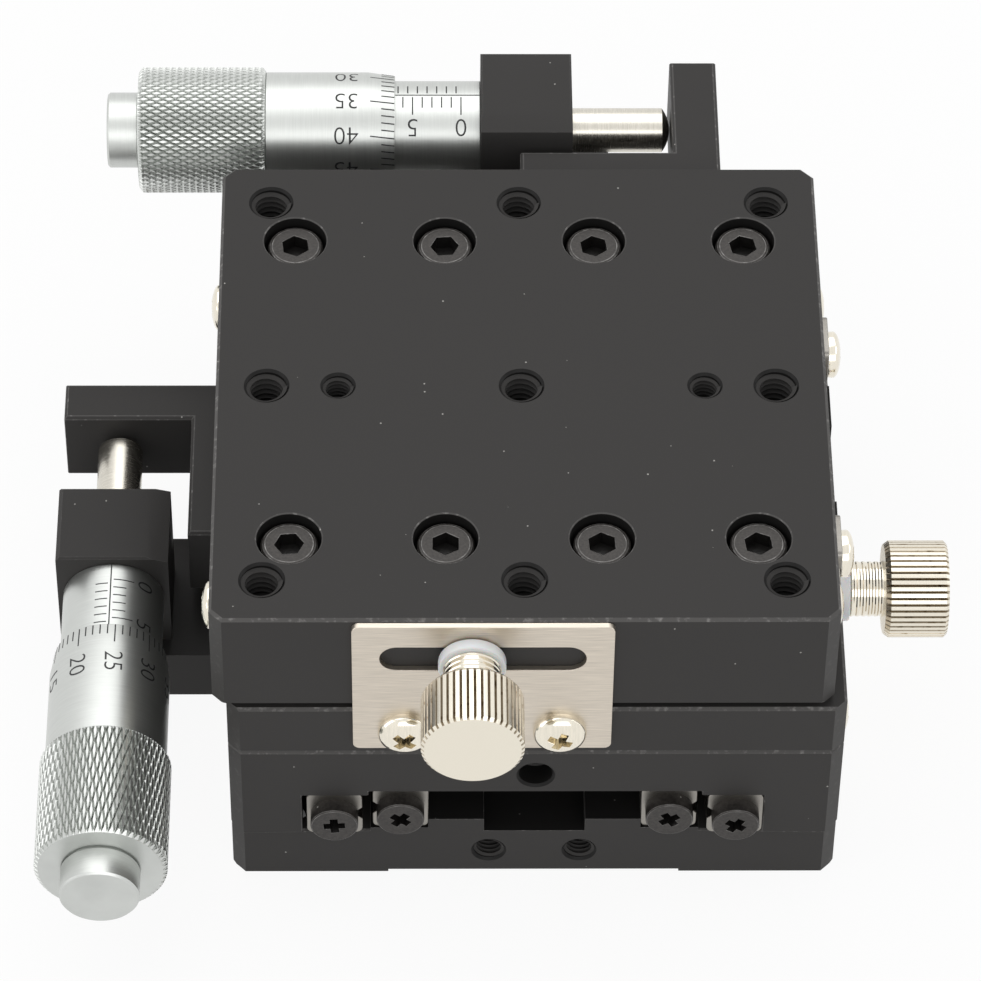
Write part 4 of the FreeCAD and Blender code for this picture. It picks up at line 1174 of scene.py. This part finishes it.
def mark(x, start, end, width):
    """A flat mark across the scale, at x from start to end."""
    return moved(patch(width, end - start), (x, (start + end) / 2, 0))


def wrapped(flat, edge, radius_at):
    """Lays a flat drawing round the X axis: its X runs towards -X from an edge, its Y from the top
    towards -Y. Slices it first so that it can bend, and gives it a little thickness."""
    high = max(vert.co.y for vert in flat.verts)
    low = min(vert.co.y for vert in flat.verts)
    step, thickness, sunk = 0.5, 0.04, 0.03
    for k in range(int(low / step), int(high / step) + 1):
        bmesh.ops.bisect_plane(flat, geom=all_of(flat), dist=SAME_POINT,
                               plane_co=(0, k * step, 0), plane_no=(0, 1, 0))
    for face in outward(flat).faces:
        if face.normal.z < 0:
            face.normal_flip()
    extrude(flat, flat.faces[:], (0, 0, thickness))
    for vert in flat.verts:
        radius = radius_at(vert.co.x) + vert.co.z - sunk
        angle = vert.co.y / radius_at(vert.co.x)
        vert.co = Vector((edge - vert.co.x, -radius * math.sin(angle), radius * math.cos(angle)))
    return outward(flat)


def sleeve_scale(size, last):
    """The millimetre scale of a sleeve, flat, with its zero at the origin."""
    line = patch(last + size.zero_mark + 0.2, size.mark_width)
    marks = [moved(line, ((last - size.zero_mark + 0.4) / 2, 0, 0))]
    figure_place = size.fifth_mark + 0.45 + size.figure_height / 2
    for k in range(last + 1):
        fifth = k % 5 == 0
        reach = size.fifth_mark if fifth else size.whole_mark
        marks.append(mark(k, size.mark_gap, reach, size.mark_width))
        if k < last:
            marks.append(mark(k + 0.5, -size.half_mark, -size.mark_gap, size.mark_width))
        if fifth:
            marks.append(moved(figures(str(k), size.figure_height), (k, figure_place, 0)))
    return join(marks)


def thimble_scale(size, reading):
    """The marks of a thimble, laid out flat so that a reading lies on the origin."""
    marks = []
    half = THIMBLE_MARKS // 2
    for k in range(THIMBLE_MARKS):
        place = (k - reading + half) % THIMBLE_MARKS - half
        y = place / THIMBLE_MARKS * (FULL_TURN * size.barrel_radius)
        fifth = k % 5 == 0
        reach = size.coarse_mark if fifth else size.fine_mark
        marks.append(moved(patch(reach, size.mark_width, 2), (reach / 2 + 0.04, y, 0)))
        if fifth:
            marks.append(moved(figures(str(k), size.figure_height), (size.figure_place, y, 0)))
    return join(marks)


def diamond_column(size, along, wide, rows):
    """Flat raised diamonds, one column along X. Their slopes are marked for painted shade."""
    bm = disc(0.5, 4)
    bmesh.ops.scale(bm, verts=bm.verts, vec=(along, wide, 1))
    face = bm.faces[:][0]
    if face.normal.z < 0:
        face.normal_flip()
    bmesh.ops.inset_individual(bm, faces=[face], thickness=wide * 0.30, depth=size.knurl_depth)
    layer = edge_marks(bm)
    for sloped in bm.faces:
        # The slopes get painted shade, the tops none
        sloped[layer] = WORN * (sloped is not face)
    column = bm.faces[:]
    for k in range(1, 2 * rows):
        verts = verts_in(bmesh.ops.duplicate(bm, geom=column))
        bmesh.ops.translate(bm, verts=verts, vec=(along / 2 * k, wide / 2 * (k % 2), 0))
    return bm


def diamond_knurl(size, lean, start, end, peak):
    """Raised diamonds round the X axis between two places, closed on the inside."""
    valley = peak - size.knurl_depth
    across = FULL_TURN / size.knurl_count
    along = across * peak / math.tan(lean)
    bm = diamond_column(size, along, across * valley, int((end - start) / along) + 3)
    for vert in bm.verts:
        angle, radius = vert.co.y / valley, valley + vert.co.z
        vert.co = Vector((start - along + vert.co.x, -radius * math.sin(angle), radius * math.cos(angle)))
    sweep(bm, FULL_TURN, size.knurl_count, duplicate=True)
    bmesh.ops.remove_doubles(bm, verts=bm.verts, dist=20 * SAME_POINT)
    for place, side in ((start, -1), (end, 1)):
        slice_at(bm, place, side, clear=True)
        slice_at(bm, place - size.knurl_cut * side, side)
    for vert in bm.verts:
        near = min(vert.co.x - start, end - vert.co.x)
        most = valley - 0.08 + near * (peak - valley + 0.1) / size.knurl_cut
        radius = vert.co.yz.length
        if radius > most:
            vert.co.yz *= most / radius
    rims = []
    for place in (start, end):
        rim = [edge for edge in bm.edges if edge.is_boundary and both_at(edge, 0, place)]
        made = bmesh.ops.extrude_edge_only(bm, edges=rim)
        for vert in verts_in(made):
            vert.co.yz *= (valley - 0.6) / vert.co.yz.length
        rims += [item for item in made["geom"] if isinstance(item, bmesh.types.BMEdge) and item.is_boundary]
    bmesh.ops.bridge_loops(bm, edges=rims)
    return outward(bm)


class STAGE_OT_sleeves(bpy.types.Operator):
    """Builds the sleeves with their millimetre scales"""

    bl_idname = "roller_stage.sleeves"
    bl_label = "Sleeves"

    def execute(self, context):
        size = settings("stage_micrometers")
        bore, wide_bore, neck, shoulder, chamfer = 2.35, 3.08, 4.75, 5.02, 0.3
        for stage in STAGES:
            node = f"{stage}_micrometer_sleeve"
            box = own_box(stage, "micrometer_sleeve")
            radius, back, tip = box.size.y / 2, box.low.x, box.high.x
            front, step = back + SCALE_LENGTH, back + 12
            points = [(tip, bore), (tip, neck - 0.2), (tip - 0.2, neck), (front, neck), (front, shoulder),
                      (front - 0.12, radius), (back + chamfer, radius), (back, radius - chamfer),
                      (back, wide_bore), (step, wide_bore), (step, bore)]
            place = axis_frame(stage, "base")
            stand_in(node, lathe(points, 128, closed=True), "satin_chrome", place)
            scale = wrapped(sleeve_scale(size, FULL_TRAVEL), front - size.zero_mark, lambda x: radius)
            dress(f"{node}_scale", scale, "ink", place, body_of(node))
        return {"FINISHED"}


class STAGE_OT_thimbles(bpy.types.Operator):
    """Builds the thimbles with their knurls and fifty marks"""

    bl_idname = "roller_stage.thimbles"
    bl_label = "Thimbles"

    def execute(self, context):
        size = settings("stage_micrometers")
        barrel, rim = size.barrel_radius, size.rim_radius
        bore, groove, wall = 5.18, 0.12, 3

        def radius_at(x):
            return rim + (barrel - rim) * min(1, max(0, x / size.bevel))

        for stage in STAGES:
            node = f"{stage}_thimble"
            place, body = axis_frame(stage, "table"), body_of(node)
            box = own_box(stage, "thimble", "table")
            sleeve = own_box(stage, "micrometer_sleeve", "table")
            edge, back, peak = box.high.x, box.low.x, box.size.y / 2
            rear, knurl, disc_radius = back - 0.02, edge - size.knurl_start, peak - size.knurl_depth - 0.1
            points = [(edge, bore), (edge, rim - 0.03), (edge - 0.05, rim), (edge - size.bevel, barrel),
                      (knurl + groove, barrel), (knurl, barrel - groove), (knurl - 0.5, barrel - groove),
                      (back + 0.5, disc_radius), (rear, disc_radius), (rear, SPINDLE_TAIL),
                      (back + wall, SPINDLE_TAIL), (back + wall, bore)]
            stand_in(node, lathe(points, 128, closed=True), "satin_chrome", place, label="barrel")
            angle = size.upper_angle if stage == "upper" else size.lower_angle
            dress(f"{node}_knurl", diamond_knurl(size, angle, back, knurl, peak), "knurled_chrome", place,
                  body, sharp=None)
            travel = sleeve.low.x + SCALE_LENGTH - size.zero_mark - edge
            reading = (travel / THREAD_PITCH * THIMBLE_MARKS - size.zero_shift) % THIMBLE_MARKS
            scale = wrapped(thimble_scale(size, reading), edge, radius_at)
            dress(f"{node}_scale", scale, "ink", place, body)
        return {"FINISHED"}


class STAGE_OT_spindles(bpy.types.Operator):
    """Builds the spindles and the thimble caps"""

    bl_idname = "roller_stage.spindles"
    bl_label = "Spindles and caps"

    def execute(self, context):
        nose, radius, core_radius = 0.8, 2.3, 3.0
        ball = (radius ** 2 + nose ** 2) / (2 * nose)
        angles = [math.asin(radius / ball) * k / 8 for k in range(9)]
        for stage in STAGES:
            place = axis_frame(stage, "table")
            thimble = own_box(stage, "thimble", "table")
            box = own_box(stage, "spindle", "table")
            core, wall = thimble.high.x - 5.5, box.low.x + 3.03
            points = [(box.high.x - ball * (1 - math.cos(angle)), ball * math.sin(angle)) for angle in angles]
            points += [(core, radius), (core, core_radius), (box.low.x, core_radius),
                       (box.low.x, SPINDLE_TAIL), (wall, SPINDLE_TAIL), (wall, 0)]
            stand_in(f"{stage}_spindle", lathe(points), "spindle_steel", place)
            box = own_box(stage, "thimble_cap", "table")
            back, end, rim, stud, cut = thimble.low.x, box.low.x, box.size.y / 2, 1.5, 0.02
            points = [(box.high.x, 0), (box.high.x, stud), (back + cut, stud), (back + cut, rim - 0.22),
                      (back - 0.2, rim - 0.22), (back - 0.22, rim - cut), (back - 0.24, rim),
                      (end + 0.22, rim), (end + 0.2, rim - cut), (end + cut, rim - 0.17),
                      (end, rim - 0.2), (end, 0)]
            stand_in(f"{stage}_thimble_cap", lathe(points), "satin_chrome", place)
        return {"FINISHED"}


# Locks

class STAGE_OT_lock_plates(bpy.types.Operator):
    """Builds the slotted lock plates"""

    bl_idname = "roller_stage.lock_plates"
    bl_label = "Lock plates"

    def execute(self, context):
        size = settings("stage_locks")
        half = size.slot_width / 2
        for stage in STAGES:
            box = own_box(stage, "lock_plate")
            bm = block(box.low, box.high)
            soften(bm, sharp_edges(bm, wanted=lambda e: runs_along(e, 1)), size.plate_corner, 5)
            slot = block((box.middle.x - size.slot_length / 2, box.low.y - 1, size.slot_height - half),
                         (box.middle.x + size.slot_length / 2, box.high.y + 1, size.slot_height + half))
            soften(slot, sharp_edges(slot, wanted=lambda e: runs_along(e, 1)), half - 0.01, 12)
            bm = carve(bm, [slot])
            soften(bm, sharp_edges(bm, 40), BROKEN_EDGE)
            stand_in(f"{stage}_lock_plate", bm, "stainless", frame_of(stage, "base"))
        return {"FINISHED"}


def straight_knurl(size, start, end, radius):
    """A knob with V grooves along X between two places."""
    points_each = 5
    bm = turned(disc(radius, size.teeth * points_each), 90, "Y")
    order = sorted(bm.verts, key=lambda v: math.atan2(v.co.z, v.co.y))
    for vert in order[::points_each]:
        vert.co.yz *= (radius - size.tooth_depth) / radius
    extrude(bm, bm.faces[:], (end - start, 0, 0))
    outward(moved(bm, (start, 0, 0)))
    layer = edge_marks(bm)
    middle = radius - size.tooth_depth / 2
    for face in bm.faces:
        if len(face.verts) == 4 and min(vert.co.yz.length for vert in face.verts) < middle:
            face[layer] = WORN
    return bm


def knob_shape(size, start, end, radius):
    """A straight knurl, chamfered at both ends."""
    bm = straight_knurl(size, start, end, radius)
    cut, end_cut, core = 0.5, 0.3, radius - size.tooth_depth
    for place, side, deep in ((start, -1, cut), (end, 1, end_cut)):
        slice_at(bm, place - deep * side, side)
    for vert in bm.verts:
        most = radius
        if vert.co.x < start + cut:
            most = core - 0.12 + (vert.co.x - start)
        if vert.co.x > end - end_cut:
            most = min(most, core - 0.04 + (end - vert.co.x))
        if vert.co.yz.length > most:
            vert.co.yz *= most / vert.co.yz.length
    return bm


def stem_points(size, neck, start):
    """The outline of a thumb screw's thread and of its neck with turned rings."""
    radius, low = size.neck_radius, size.neck_radius - size.ring_depth
    tip, shank = -5.8, 1.45
    points = [(tip, 0), (tip, 1.2), (tip + 0.3, shank), (neck, shank), (neck, radius - 0.15),
              (neck + 0.12, radius)]
    for k in range(5):
        x = neck + 0.25 + k * 0.62
        points += [(x, radius), (x + 0.12, low), (x + 0.3, low), (x + 0.42, radius)]
    return points + [(start + 0.3, radius), (start + 0.3, 0)]


class STAGE_OT_thumb_screws(bpy.types.Operator):
    """Builds the thumb screws and their washers"""

    bl_idname = "roller_stage.thumb_screws"
    bl_label = "Thumb screws"

    def execute(self, context):
        size = settings("stage_locks")
        knob_length = 6.35
        for stage in STAGES:
            face = own_box(stage, "table_plate", "table").low.y
            box = own_box(stage, "lock_washer", "table")
            near, far, radius, hole = face - box.high.y, face - box.low.y, box.size.x / 2, size.washer_hole
            ring = lathe([(near, hole), (near, radius), (far, radius), (far, hole)], 64, True)
            soften(ring, sharp_edges(ring, 40), 0.22, 3)
            stand_in(f"{stage}_lock_washer", ring, "nylon", lock_frame(stage))
            node = f"{stage}_lock_screw"
            box = own_box(stage, "lock_screw", "table")
            end = face - box.low.y
            start = end - knob_length
            stem = lathe(stem_points(size, far + 0.05, start))
            stand_in(node, stem, "nickel", lock_frame(stage), label="stem")
            dress(f"{node}_knob", knob_shape(size, start, end, box.size.x / 2), "nickel_face",
                  lock_frame(stage), body_of(node), sharp=None)
        return {"FINISHED"}


# Return springs

def spring_shapes(first, last, hook, wire, radius, ring):
    """A coil along X with a hook at each end, whose rings lie round the first and the last place."""
    start, end, steps = first + hook, last - hook, 20
    turns = int((end - start) / 0.58)
    coil = moved(disc(wire, 8), (radius, 0, 0))
    sweep(coil, FULL_TURN * turns, turns * steps, "Z", (end - start) / turns / steps)
    shapes = [moved(turned(coil, 90, "Y"), (start, 0, 0))]
    for place, edge, way in ((first, start, 1), (last, end, -1)):
        loop = moved(turned(disc(wire, 8), 90, "X"), (ring * way, 0, 0))
        sweep(loop, math.radians(320), 32, "Z")
        link = turned(rod(wire, hook - ring), 90, "Y")
        shapes += [moved(loop, (place, 0, 0)), moved(link, ((place + ring * way + edge) / 2, 0, 0)),
                   moved(rod(wire, radius * 2), (edge, 0, 0))]
    return [outward(shape) for shape in shapes]


class STAGE_OT_springs(bpy.types.Operator):
    """Winds the return springs, which run between base and table"""

    bl_idname = "roller_stage.springs"
    bl_label = "Return springs"

    def execute(self, context):
        wire, radius, hook, ring = 0.25, 2.15, 3.0, 1.3
        for stage in STAGES:
            node = f"{stage}_return_spring"
            box = own_box(stage, "return_spring")
            first, last = box.low.x + ring + wire, box.high.x - ring - wire
            height, place = box.middle.z, frame_of(stage, "base")
            spring = moved(join(spring_shapes(first, last, hook, wire, radius, ring)), (0, 0, height))
            piece = painted(f"{node}_wire", spring, "spring_steel", place, SPRING_SMOOTH_ANGLE)
            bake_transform(piece)
            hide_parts(node)
        return {"FINISHED"}


# Floor, lamps and camera

def lamp(name, place, target, width, height, power):
    data = bpy.data.lights.new(name, "AREA")
    data.shape, data.size, data.size_y, data.energy = "RECTANGLE", width, height, power
    thing = bpy.data.objects.new(name, data)
    bpy.context.scene.collection.objects.link(thing)
    thing.location = place
    thing.rotation_euler = (Vector(target) - Vector(place)).to_track_quat("-Z", "Y").to_euler()


def seen(tree, dark, light):
    """One value for light on the object, and another for what the camera, gloss and glass see."""
    path = tree.nodes.new("ShaderNodeLightPath").outputs
    total = path["Is Camera Ray"]
    for label in ("Is Glossy Ray", "Is Transmission Ray"):
        total = maths(tree, "ADD", total, path[label], clamp=True)
    return mapped(tree, total, dark, light)


def make_floor(rgb):
    """A floor that is lit like paper, but that the camera sees as plain white."""
    ground = plain_object("floor", moved(patch(6, 6), (0, 0, -FLOOR_GAP)))
    material = bpy.data.materials.new("floor")
    material.use_nodes = True
    tree = material.node_tree
    shader = tree.nodes["Principled BSDF"]
    for label, value in {"Base Color": (*rgb, 1), "Roughness": 0.9, "Specular IOR Level": 0.1}.items():
        shader.inputs[label].default_value = value
    white = add(tree, "Emission").outputs["Emission"]
    blend = add(tree, "MixShader", {"Fac": seen(tree, 0.0, 0.92), 1: shader.outputs["BSDF"], 2: white})
    tree.links.new(blend.outputs["Shader"], tree.nodes["Material Output"].inputs["Surface"])
    ground.data.materials.append(material)


def make_camera(scene):
    """The camera that a fit to the corners and holes of the plates gave."""
    focal, picture, sensor, distance = 5472.4, 981, 36, 0.5277
    pitch, yaw, roll = (math.radians(angle) for angle in (48.72, -1.01, 0.73))
    target = Vector((-0.004495, -0.014446, 0.04))
    back = Vector((math.sin(yaw) * math.cos(pitch), -math.cos(yaw) * math.cos(pitch), math.sin(pitch)))
    right = Vector((math.cos(yaw), math.sin(yaw), 0))
    up = back.cross(right)
    axes = Matrix((right * math.cos(roll) + up * math.sin(roll), up * math.cos(roll) - right * math.sin(roll),
                   back)).transposed().to_4x4()
    data = bpy.data.cameras.new("camera")
    data.sensor_width = sensor
    data.lens = focal * sensor / picture
    data.clip_start, data.clip_end = 0.01, 10
    camera = bpy.data.objects.new("camera", data)
    scene.collection.objects.link(camera)
    camera.matrix_world = Matrix.Translation(target + back * distance) @ axes
    scene.camera = camera


class STAGE_OT_studio(bpy.types.Operator):
    """Sets the floor, the lamps and the camera"""

    bl_idname = "roller_stage.studio"
    bl_label = "Studio"

    def execute(self, context):
        scene = context.scene
        make_floor(settings("stage_finishes").floor)
        scene.world = bpy.data.worlds.new("studio")
        scene.world.use_nodes = True
        tree = scene.world.node_tree
        tree.nodes["Background"].inputs["Color"].default_value = (1, 1, 1, 1)
        tree.links.new(seen(tree, 0.45, 1.0), tree.nodes["Background"].inputs["Strength"])
        for values in LAMPS:
            lamp(*values)
        make_camera(scene)
        scene.view_settings.view_transform = "Standard"
        return {"FINISHED"}


STEPS = (
    STAGE_OT_finishes, STAGE_OT_plates, STAGE_OT_threads, STAGE_OT_rails, STAGE_OT_holders, STAGE_OT_screws,
    STAGE_OT_cross_screws, STAGE_OT_sleeves, STAGE_OT_thimbles, STAGE_OT_spindles, STAGE_OT_lock_plates,
    STAGE_OT_thumb_screws, STAGE_OT_springs, STAGE_OT_studio,
)


class STAGE_PT_panel(bpy.types.Panel):
    """Lists the steps that dress the stage"""

    bl_idname = "STAGE_PT_panel"
    bl_label = "Roller stage"
    bl_space_type = "VIEW_3D"
    bl_region_type = "UI"
    bl_category = "Roller stage"

    def draw(self, context):
        for step in STEPS:
            self.layout.operator(step.bl_idname)
        for name in GROUPS:
            group = getattr(context.scene, name)
            box = self.layout.box()
            for prop in group.bl_rna.properties:
                if prop.identifier not in ("rna_type", "name"):
                    box.prop(group, prop.identifier)


def register():
    for kind in (*GROUPS.values(), *STEPS, STAGE_PT_panel):
        bpy.utils.register_class(kind)
    for name, kind in GROUPS.items():
        setattr(bpy.types.Scene, name, bpy.props.PointerProperty(type=kind))


def unregister():
    for name in GROUPS:
        delattr(bpy.types.Scene, name)
    for kind in reversed((*GROUPS.values(), *STEPS, STAGE_PT_panel)):
        bpy.utils.unregister_class(kind)


def main():
    register()
    for step in STEPS:
        family, name = step.bl_idname.split(".")
        getattr(getattr(bpy.ops, family), name)()
    bpy.context.view_layer.update()


if __name__ == "__main__":
    main()
